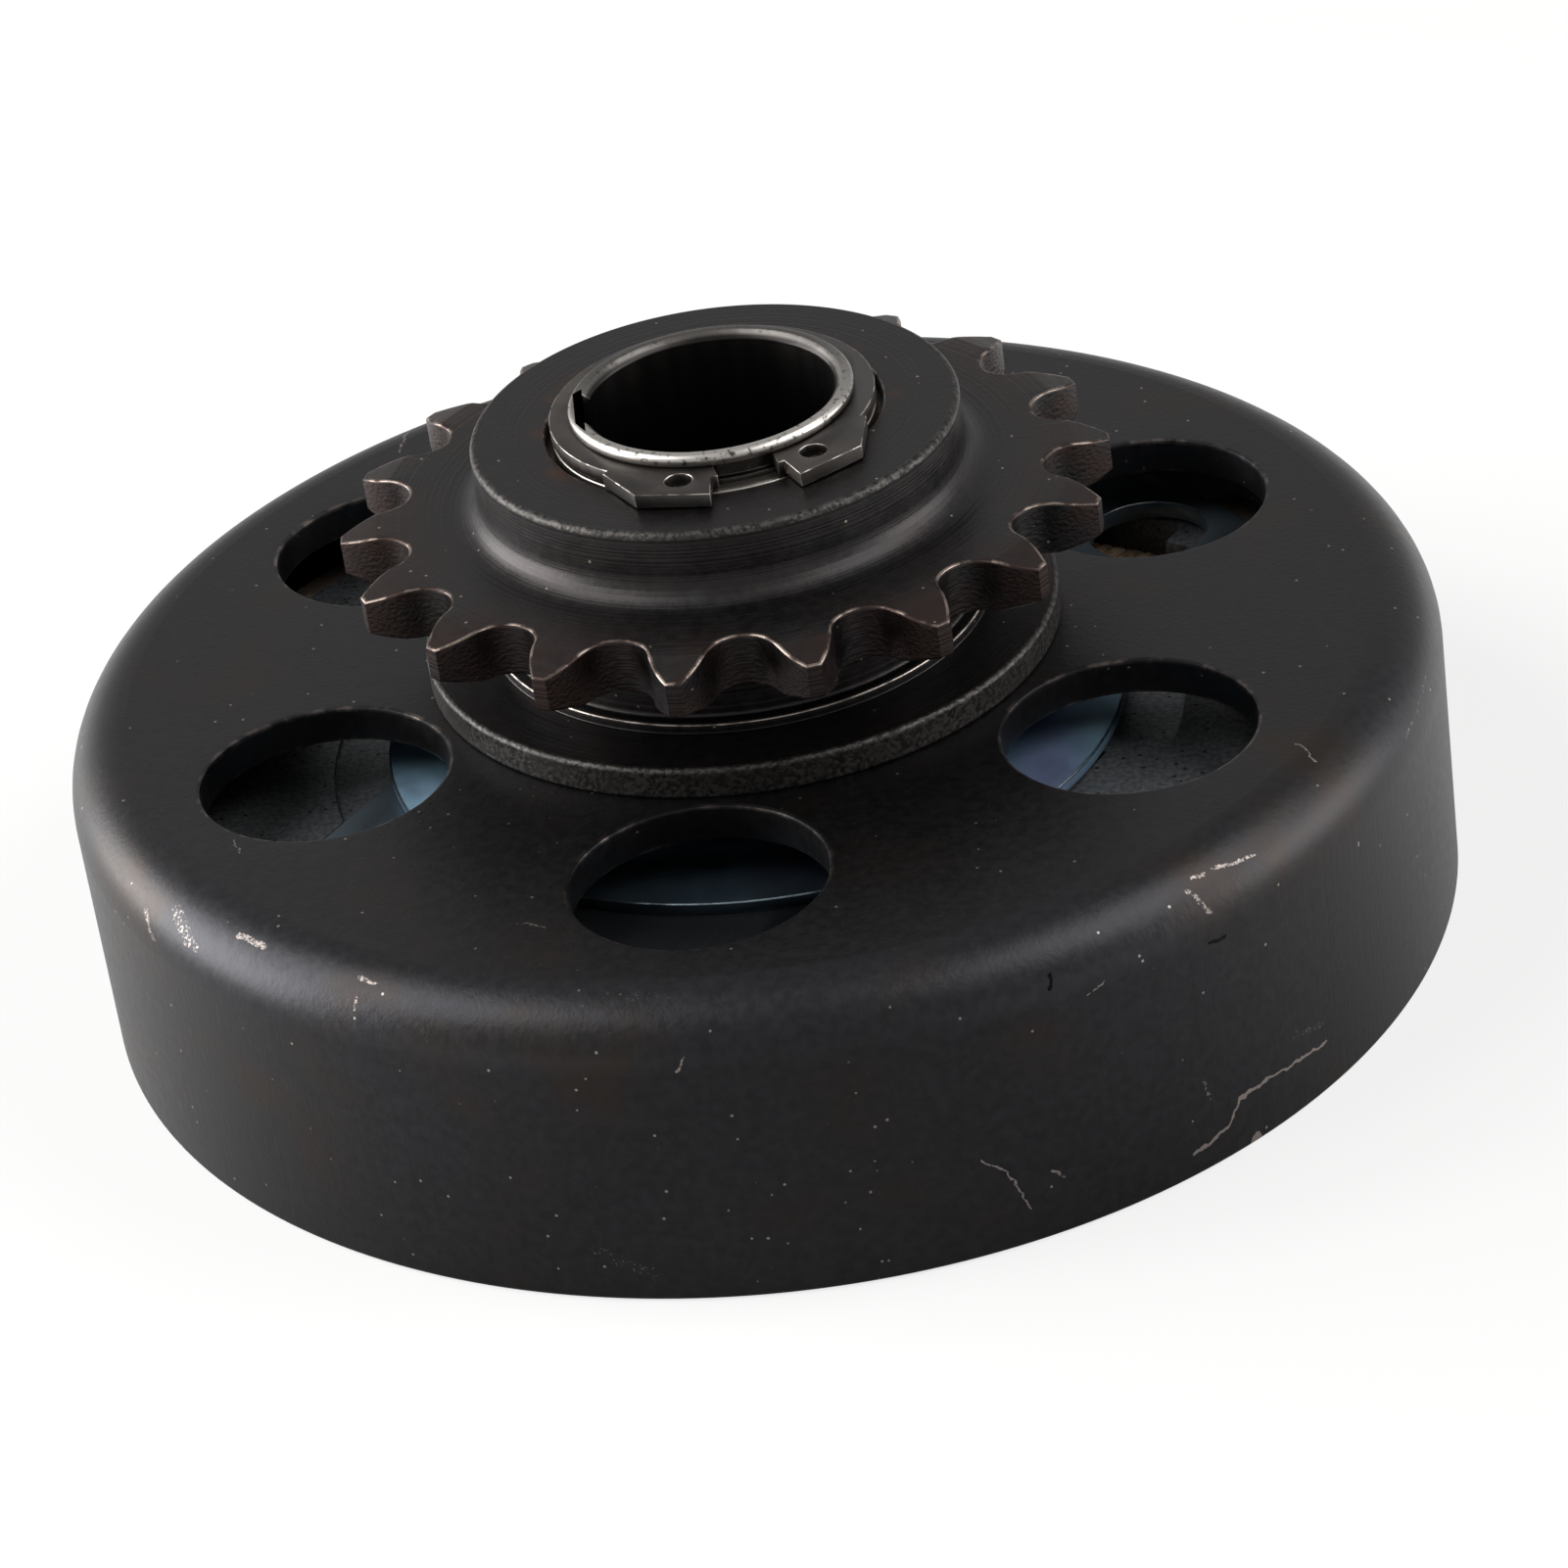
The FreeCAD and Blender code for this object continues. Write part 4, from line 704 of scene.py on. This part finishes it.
class CLUTCH_OT_drum(bpy.types.Operator):
    """Builds the pressed drum with its rounded shoulder and six windows"""
    bl_idname = "clutch.drum"
    bl_label = "Drum"

    def execute(self, context):
        settings = context.scene.clutch_drum
        radius, top = DRUM_HIGH.x, DRUM_HIGH.z
        inside, ceiling = radius - settings.wall, top - settings.wall
        outline = rounded([
            (inside, 0, settings.edge),
            (radius, 0, settings.edge),
            (radius, top, settings.shoulder),
            (settings.hole, top),
            (settings.hole, ceiling),
            (inside, ceiling, settings.shoulder - settings.wall),
        ], steps=12)
        drum = object_of(turned("drum_cup", outline))
        give_materials(drum.data, [None, None])
        # A punched window: straight, with a rounded edge at both faces.
        window, edge = settings.window_radius, settings.edge
        flare, halfway = 2.4 * MM, 0.29 * edge
        profile = [
            (0, ceiling - MM, PLAIN),
            (window + edge + flare, ceiling - MM, EDGE),
            (window + edge, ceiling, EDGE),
            (window + halfway, ceiling + halfway, EDGE),
            (window, ceiling + edge, PLAIN),
            (window, top - edge, EDGE),
            (window + halfway, top - halfway, EDGE),
            (window + edge, top, EDGE),
            (window + edge + flare, top + MM, PLAIN),
            (0, top + MM, PLAIN),
        ]
        cutter = turned("drum_window", [(Vector(point), finish) for *point, finish in profile], segments=96)
        place = Matrix.Translation((settings.window_circle, 0, 0))
        turns = [settings.window_angle + FULL_TURN * number / settings.window_count
                 for number in range(settings.window_count)]
        multiplied(cutter, [Matrix.Rotation(turn, 4, "Z") @ place for turn in turns])
        give_materials(cutter, [None, None])
        punch = object_of(cutter)
        cut = drum.modifiers.new("windows", "BOOLEAN")
        cut.object = punch
        cut.solver = "EXACT"
        apply_modifiers(drum)
        bpy.data.objects.remove(punch)
        # The large faces decide the shading, so that the drum's face looks flat up to each window.
        drum.data.shade_smooth()
        drum.data.set_sharp_from_angle(angle=math.radians(25))
        even = drum.modifiers.new("flat face", "WEIGHTED_NORMAL")
        even.weight = 100
        even.keep_sharp = True
        apply_modifiers(drum)
        oxide = black_oxide(settings)
        edges = edge_wear_and_highlight("punched edge in black oxide", settings.steel[:], linear("#6a625d"), 0.45, 0.75)
        finish_piece(drum, "drum", [oxide, edges], sharp=0)
        return {"FINISHED"}


# Steps along each half of a gap: round the roller's seat, up the tooth's flank and along its tip.
SEAT_STEPS, FLANK_STEPS, TIP_STEPS = 9, 8, 2


def tooth_gap(settings, seat_angle=math.radians(67.5)):
    """A gap of the sprocket about the X axis, from tooth tip to tooth tip: points and normals."""
    pitch_radius = settings.pitch / 2 / math.sin(math.pi / settings.tooth_count)
    tip_radius = settings.pitch / 2 * (0.6 + 1 / math.tan(math.pi / settings.tooth_count))
    seat = settings.roller / 2 + 0.05 * MM
    flank = settings.flank
    centre = Vector((pitch_radius, 0))
    flank_centre = centre + Vector((-math.cos(seat_angle), math.sin(seat_angle))) * (seat + flank)
    reach = flank_centre.length
    bend = math.acos((tip_radius ** 2 - reach ** 2 - flank ** 2) / (2 * flank * reach))
    flank_end = math.atan2(flank_centre.y, flank_centre.x) - bend
    half = []
    for step in range(SEAT_STEPS + 1):
        turn = seat_angle * step / SEAT_STEPS
        spoke = Vector((-math.cos(turn), math.sin(turn)))
        half.append((centre + spoke * seat, -spoke))
    for step in range(1, FLANK_STEPS + 1):
        turn = -seat_angle + (flank_end + seat_angle) * step / FLANK_STEPS
        spoke = Vector((math.cos(turn), math.sin(turn)))
        half.append((flank_centre + spoke * flank, spoke))
    corner, slope = half[-1]
    half[-1] = (corner, (slope + corner.normalized()).normalized())
    start = math.atan2(corner.y, corner.x)
    for step in range(1, TIP_STEPS + 1):
        turn = start + (math.pi / settings.tooth_count - start) * step / TIP_STEPS
        spoke = Vector((math.cos(turn), math.sin(turn)))
        half.append((spoke * tip_radius, spoke))
    mirrored = [(Vector((p.x, -p.y)), Vector((n.x, -n.y))) for p, n in reversed(half[1:-1])]
    return mirrored + half


class CLUTCH_OT_sprocket_hub(bpy.types.Operator):
    """Builds the sprocket hub with its guide flange, toothed rim and boss"""
    bl_idname = "clutch.sprocket_hub"
    bl_label = "Sprocket hub"

    def execute(self, context):
        settings = context.scene.clutch_hub
        count = settings.tooth_count
        outline = []
        for number in range(count):
            turn = settings.tooth_angle + FULL_TURN * (number + 0.5) / count
            spin = Matrix.Rotation(turn, 2)
            outline += [(spin @ point, spin @ normal) for point, normal in tooth_gap(settings)]
        angles = [math.atan2(point.y, point.x) for point, normal in outline]

        face = DRUM_HIGH.z
        low, high = face + settings.rim_low, face + settings.rim_high
        tip = max(point.length for point, normal in outline)
        bevel_start = tip - settings.bevel_width
        edge = settings.edge

        def drop(radius):
            """How far the bevel lies under the sprocket's face at a radius."""
            return settings.bevel_depth * min(max((radius - bevel_start) / settings.bevel_width, 0), 1)

        def side(base, sign):
            """Rings from the flat of one side of the rim, over its bevel, to its toothed wall."""
            def lowered(flat, sunk):
                return flat.to_3d() + Vector((0, 0, base - sign * sunk))

            rings = []
            for shift in (-BEVEL_GUARD, BEVEL_GUARD):
                points = []
                for point, normal in outline:
                    radius = min(bevel_start + shift, point.length - 3 * edge)
                    points.append(lowered(point.normalized() * radius, drop(radius)))
                rings.append((points, PLAIN))
            for inset, finish in ((edge + GUARD, PLAIN), (edge, EDGE)):
                flats = [point - normal * inset for point, normal in outline]
                rings.append(([lowered(flat, drop(flat.length)) for flat in flats], finish))
            for step in range(1, EDGE_STEPS + 1):
                turn = math.pi / 2 * step / EDGE_STEPS
                points = []
                for point, normal in outline:
                    sunk = drop((point - normal * edge).length) + edge * (1 - math.cos(turn))
                    points.append(lowered(point - normal * edge * (1 - math.sin(turn)), sunk))
                rings.append((points, EDGE if step < EDGE_STEPS else PLAIN))
            rings.append(([point + Vector((0, 0, -sign * GUARD)) for point in points], PLAIN))
            return rings

        bore = BUSHING_HIGH.x + 0.02 * MM
        foot, top = HUB_LOW.z, HUB_HIGH.z
        inside = face - context.scene.clutch_drum.wall
        on_flange, on_step = face + settings.flange_height, face + settings.step_height
        rim_foot = (settings.root, low)
        corners = [
            (bore, foot),
            (settings.collar, foot, 0.5 * MM, EDGE),
            (settings.collar, inside, 0.3 * MM),
            (settings.barrel, inside),
            (settings.barrel, face),
            (settings.flange, face, 0.25 * MM, ROUGH, ROUGH),
            (settings.flange, on_flange, 0.4 * MM, ROUGH),
            (settings.step, on_flange, 0.1 * MM),
            # The step's rounded edge takes the painted highlight.
            (settings.step, on_step, 0.15 * MM, BRIGHT),
            (settings.neck, on_step, 0.3 * MM),
            (settings.neck, low, 0.6 * MM),
            rim_foot,
            (settings.root, high),
            (settings.boss, high, settings.fillet),
            (settings.boss, top, 0.5 * MM, ROUGH),
            (settings.recess, top, 0.2 * MM, EDGE),
            (settings.recess, BUSHING_HIGH.z),
            (bore, BUSHING_HIGH.z),
        ]
        rings = []
        for point, finish in rounded(corners, steps=7):
            rings.append((ring_points(point.x, point.y, angles), finish))
            if point == Vector(rim_foot):
                rings += side(low, -1) + side(high, 1)[::-1]
        hub = object_of(skin("sprocket_and_hub", rings))
        steel = sprocket_steel(settings)
        edges = edge_wear_and_highlight("rubbed edge of hardened steel", settings.brown[:], settings.worn[:], 0.42, 0.62)
        # Painted highlight: the step's rounded edge is drawn as a light ring.
        bright = edge_wear_and_highlight("step edge of hardened steel with painted highlight", linear("#5c5652"), linear("#a39a93"))
        rim = rough_turned()
        finish_piece(hub, "sprocket_hub", [steel, edges, bright, rim], sharp=40)
        return {"FINISHED"}


class CLUTCH_OT_sleeve(bpy.types.Operator):
    """Rounds the edges of the keyed sleeve and wears its rim bright, with a painted highlight towards the
    front
    """
    bl_idname = "clutch.sleeve"
    bl_label = "Sleeve"

    def execute(self, context):
        steel = sleeve_steel()
        softened("hub_sleeve", "keyed_sleeve", 0.15 * MM, [steel])
        return {"FINISHED"}


class CLUTCH_OT_washers(bpy.types.Operator):
    """Finishes the bronze bushing, the two thrust washers and the snap ring"""
    bl_idname = "clutch.washers"
    bl_label = "Bushing, washers and snap ring"

    def execute(self, context):
        dress("bronze_bushing", bronze())
        bright = ground_steel("ground washer steel", "#c2bdb6", "#8d8780", 0.3)
        softened("outer_thrust_washer", "outer_washer", 0.12 * MM, [bright])
        softened("inner_thrust_washer", "inner_washer", 0.12 * MM, [bright])
        ring = ground_steel("phosphated spring steel", "#3f3d3c", "#57524e", 0.42)
        ring_edge = edge_wear_and_highlight("rubbed edge of spring steel", linear("#4a4643"), linear("#b1a9a2"), 0.4, 0.6)
        softened("circlip", "snap_ring", 0.12 * MM, [ring, ring_edge])
        return {"FINISHED"}


class CLUTCH_OT_rotor_plates(bpy.types.Operator):
    """Finishes the rotor's plated discs, its guide plates and the spider between them"""
    bl_idname = "clutch.rotor_plates"
    bl_label = "Rotor plates"

    def execute(self, context):
        settings = context.scene.clutch_rotor
        zinc = blue_zinc(settings)
        zinc_edge = edge_wear_and_highlight("sheared edge of zinc plate", linear("#465158"), linear("#7b8a92"), 0.3, 0.6)
        for node, name in (("upper_disc", "top_disc"), ("lower_disc", "bottom_disc")):
            softened(node, name, 0.15 * MM, [zinc, zinc_edge])
        # The guide plates get painted shade towards their front edge.
        plate = ground_steel("oiled sheet steel with painted front shade", "#727f88", "#606c74", 0.35, metallic=0.7, oiled=True)
        plate_edge = edge_wear_and_highlight("sheared edge of sheet steel", linear("#59636a"), linear("#a9adb0"))
        for node, name in (("upper_guide_plate", "top_guide"), ("lower_guide_plate", "bottom_guide")):
            softened(node, name, 0.2 * MM, [plate, plate_edge])
        spider = ground_steel("milled steel", "#6b6763", "#4a4642", 0.36)
        softened("drive_spider", "keyed_spider", settings.edge, [spider])
        return {"FINISHED"}


class CLUTCH_OT_rivets(bpy.types.Operator):
    """Builds the four rivets with their domed heads"""
    bl_idname = "clutch.rivets"
    bl_label = "Rivets"

    def execute(self, context):
        low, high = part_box("spider_rivets")
        head, shank, crown = 2.6 * MM, 1.8 * MM, 0.7 * MM
        under, over = low.z + crown, high.z - crown
        dome = [(0.0, 1.0), (0.35, 0.96), (0.65, 0.8), (0.86, 0.5), (0.96, 0.22), (1.0, 0.0)]
        outline = [(head * x, over + crown * y) for x, y in dome]
        outline += [(shank, over), (shank, under)]
        outline += [(head * x, under - crown * y) for x, y in reversed(dome)]
        rivet = turned("rivet", [(Vector(point), PLAIN) for point in outline], segments=32)
        circle = 17.2 * MM
        spokes = [ROTOR_ANGLE + FULL_TURN * (number + 0.5) / 4 for number in range(4)]
        multiplied(rivet, [Matrix.Translation((circle * math.cos(spoke), circle * math.sin(spoke), 0))
                           for spoke in spokes])
        rivet.name = "rotor_rivets"
        steel = ground_steel("upset rivet steel", "#8c8882", "#5f5a55", 0.34)
        finish_piece(object_of(rivet), "spider_rivets", [steel])
        return {"FINISHED"}


class CLUTCH_OT_shoes(bpy.types.Operator):
    """Finishes the two sintered shoes, their friction linings and spring pins"""
    bl_idname = "clutch.shoes"
    bl_label = "Shoes and linings"

    def execute(self, context):
        settings = context.scene.clutch_rotor
        iron = sintered_iron(settings)
        lining = friction_lining(settings)
        pin = ground_steel("ground pin steel", "#a39e98", "#6f6a64", 0.3)
        for number in (1, 2):
            softened(f"shoe_{number}", f"iron_shoe_{number}", settings.edge, [iron])
            softened(f"lining_{number}", f"friction_band_{number}", settings.edge,
                     [lining])
            dress(f"spring_pins_{number}", pin)
        return {"FINISHED"}


class CLUTCH_OT_springs(bpy.types.Operator):
    """Winds the two springs, each as two halves"""
    bl_idname = "clutch.springs"
    bl_label = "Springs"

    def execute(self, context):
        settings = context.scene.clutch_rotor
        wire = spring_wire(settings)
        middle_height = (SPIDER_LOW.z + SPIDER_HIGH.z) / 2
        for number, side in ((1, 1), (2, -1)):
            line = ACROSS * side * settings.spring_line + Vector((0, 0, middle_height))
            for end, shoe in ((1, "shoe_1"), (-1, "shoe_2")):
                half = wind_half(f"spring_{number}_half_{1 if end > 0 else 2}", settings, line, side, end)
                half.data.materials.append(wire)
                half.data.shade_smooth()
                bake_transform(half)
                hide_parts(f"spring_{number}")
        return {"FINISHED"}


def wind_half(name, settings, line, side, end, steps=24):
    """Half a spring, as wire: turns from its middle to its last, and the loop round a shoe's pin."""
    coil, reach = settings.coil, settings.coil_end
    path = []
    for step in range(settings.turns * steps):
        turn = FULL_TURN * step / steps
        path.append((coil * math.cos(turn), reach * step / (settings.turns * steps), coil * math.sin(turn)))
    for step in range(int(steps * 0.93)):
        turn = FULL_TURN * step / steps
        share = min(turn / (0.6 * math.pi), 1)
        out = coil * (1 - share * share * (3 - 2 * share))
        path.append((out, reach + coil - coil * math.cos(turn), coil * math.sin(turn)))
    curve = bpy.data.curves.new(name, "CURVE")
    curve.dimensions = "3D"
    curve.bevel_depth = settings.wire
    curve.bevel_resolution = 3
    curve.use_fill_caps = True
    spline = curve.splines.new("POLY")
    spline.points.add(len(path) - 1)
    for point, (out, on, up) in zip(spline.points, path):
        place = line + ACROSS * side * out + ALONG * end * on + Vector((0, 0, end * side * up))
        point.co = (*place, 1)
    shaped = object_of(curve)
    mesh = mesh_of(shaped)
    bpy.data.objects.remove(shaped)
    return object_of(mesh)


# The lamps: azimuth and elevation from the clutch's middle, width, height, and which of the stage's two
# levels gives their radiance, and what share of it.
LAMPS = {
    "left_softbox": (166, 14, 0.75, 0.5, "key", 1.0),
    "left_top_softbox": (185, 50, 0.65, 0.45, "key", 0.42),
    "right_softbox": (-4, 12, 0.55, 0.4, "side", 1.0),
    "right_top_softbox": (-18, 48, 0.6, 0.45, "side", 0.75),
}
LAMP_DISTANCE = 0.8
CLUTCH_MIDDLE = Vector((0, 0, 0.02))
CAMERA_PLACE = Vector((0.0, -0.37699, 0.23478))
CAMERA_AIM = Vector((0.00136, 0.01739, 0.0))


def soft_lamp(name, azimuth, elevation, width, height, radiance):
    """A flat studio lamp that faces the clutch. Its radiance is 1 where it would look white."""
    lamp = bpy.data.lights.new(name, "AREA")
    lamp.shape = "RECTANGLE"
    lamp.size, lamp.size_y = width, height
    lamp.energy = radiance * math.pi * width * height
    away = Vector((math.cos(elevation) * math.cos(azimuth), math.cos(elevation) * math.sin(azimuth),
                   math.sin(elevation)))
    stand = object_of(lamp)
    stand.location = CLUTCH_MIDDLE + away * LAMP_DISTANCE
    stand.rotation_mode = "QUATERNION"
    stand.rotation_quaternion = (-away).to_track_quat("-Z", "Y")


def blank_tree(thing):
    """The emptied node tree of a material or a world."""
    thing.use_nodes = True
    thing.node_tree.nodes.clear()
    return thing.node_tree


def by_ray(tree, soft, camera, mirrored):
    """A strength that differs for soft light, for what the camera sees and for what metal mirrors."""
    strength = soft
    for kind, other in (("Is Camera Ray", camera), ("Is Glossy Ray", mirrored)):
        seen = add(tree, "LightPath", out=kind)
        strength = add(tree, "Mix", {0: seen, 2: strength, 3: other}, data_type="FLOAT")
    return strength


class CLUTCH_OT_stage(bpy.types.Operator):
    """Sets up the pale floor, the studio lamps and the camera"""
    bl_idname = "clutch.stage"
    bl_label = "Stage"

    def execute(self, context):
        settings = context.scene.clutch_stage
        scene = context.scene
        mesh = bpy.data.meshes.new("floor")
        half = 2.0
        mesh.from_pydata([(-half, -half, 0), (half, -half, 0), (half, half, 0), (-half, half, 0)], [],
                         [(0, 1, 2, 3)])
        floor = object_of(mesh)
        floor.location.z = -0.05 * MM
        # Matt paper, lit by the lamps. The camera sees it mostly as plain white, with the shadow in it.
        paper = bpy.data.materials.new("white studio paper")
        tree = blank_tree(paper)
        matt = add(tree, "BsdfDiffuse", {"Color": settings.floor[:]})
        # The lamps stand at the sides, so the metal mirrors brighter paper there than in front.
        across = add(tree, "TexCoord", out="Object")
        across = add(tree, "SeparateXYZ", {0: across}, out="X")
        across = add(tree, "Math", {0: across}, operation="ABSOLUTE")
        sides = ramp(tree, across, 0.025, 0.11, 0.25, 1.5)
        plain = by_ray(tree, 1.0, 1.0, sides)
        plain = add(tree, "Emission", {"Color": (1, 1, 1, 1), "Strength": plain})
        paper_look = add(tree, "MixShader", {0: by_ray(tree, 0.0, 0.75, 0.65), 1: matt, 2: plain})
        # From below the paper is clear, so that the clutch's open side can be looked at.
        below = add(tree, "NewGeometry", out="Backfacing")
        clear = add(tree, "BsdfTransparent")
        paper_look = add(tree, "MixShader", {0: below, 1: paper_look, 2: clear})
        add(tree, "OutputMaterial", {"Surface": paper_look})
        mesh.materials.append(paper)

        world = bpy.data.worlds.new("studio")
        tree = blank_tree(world)
        # The walls of the studio that the metal mirrors are duller than its white backdrop.
        sky = by_ray(tree, 0.05, 1.0, 0.55)
        sky = add(tree, "Background", {"Color": (1, 1, 1, 1), "Strength": sky})
        add(tree, "OutputWorld", {"Surface": sky})
        scene.world = world

        for name, (azimuth, elevation, width, height, level, share) in LAMPS.items():
            soft_lamp(name, math.radians(azimuth), math.radians(elevation), width, height,
                      share * getattr(settings, level))

        view = bpy.data.cameras.new("photo_camera")
        view.sensor_width = 36.0
        view.lens = settings.lens
        view.clip_start = 0.01
        camera = object_of(view)
        camera.location = CAMERA_PLACE
        aim = CAMERA_AIM - CAMERA_PLACE
        camera.rotation_mode = "QUATERNION"
        camera.rotation_quaternion = aim.to_track_quat("-Z", "Y") @ Quaternion((0, 0, 1), settings.roll)
        scene.camera = camera
        scene.view_settings.view_transform = "Standard"
        return {"FINISHED"}


STEPS = (CLUTCH_OT_drum, CLUTCH_OT_sprocket_hub, CLUTCH_OT_sleeve, CLUTCH_OT_washers,
         CLUTCH_OT_rotor_plates, CLUTCH_OT_rivets, CLUTCH_OT_shoes, CLUTCH_OT_springs, CLUTCH_OT_stage)
GROUPS = {"clutch_drum": DrumSettings, "clutch_hub": HubSettings, "clutch_rotor": RotorSettings,
          "clutch_stage": StageSettings}


class CLUTCH_PT_panel(bpy.types.Panel):
    """Lists the clutch's settings and the steps that build it"""
    bl_idname = "CLUTCH_PT_panel"
    bl_label = "Centrifugal clutch"
    bl_space_type = "VIEW_3D"
    bl_region_type = "UI"
    bl_category = "Clutch"

    def draw(self, context):
        for name, group in GROUPS.items():
            box = self.layout.box()
            for setting in group.__annotations__:
                box.prop(getattr(context.scene, name), setting)
        for step in STEPS:
            self.layout.operator(step.bl_idname)


CLASSES = (*GROUPS.values(), *STEPS, CLUTCH_PT_panel)


def register():
    for kind in CLASSES:
        bpy.utils.register_class(kind)
    for name, group in GROUPS.items():
        setattr(bpy.types.Scene, name, bpy.props.PointerProperty(type=group))


def unregister():
    for name in GROUPS:
        delattr(bpy.types.Scene, name)
    for kind in reversed(CLASSES):
        bpy.utils.unregister_class(kind)


def main():
    register()
    bpy.ops.clutch.drum()
    bpy.ops.clutch.sprocket_hub()
    bpy.ops.clutch.sleeve()
    bpy.ops.clutch.washers()
    bpy.ops.clutch.rotor_plates()
    bpy.ops.clutch.rivets()
    bpy.ops.clutch.shoes()
    bpy.ops.clutch.springs()
    bpy.ops.clutch.stage()


if __name__ == "__main__":
    main()
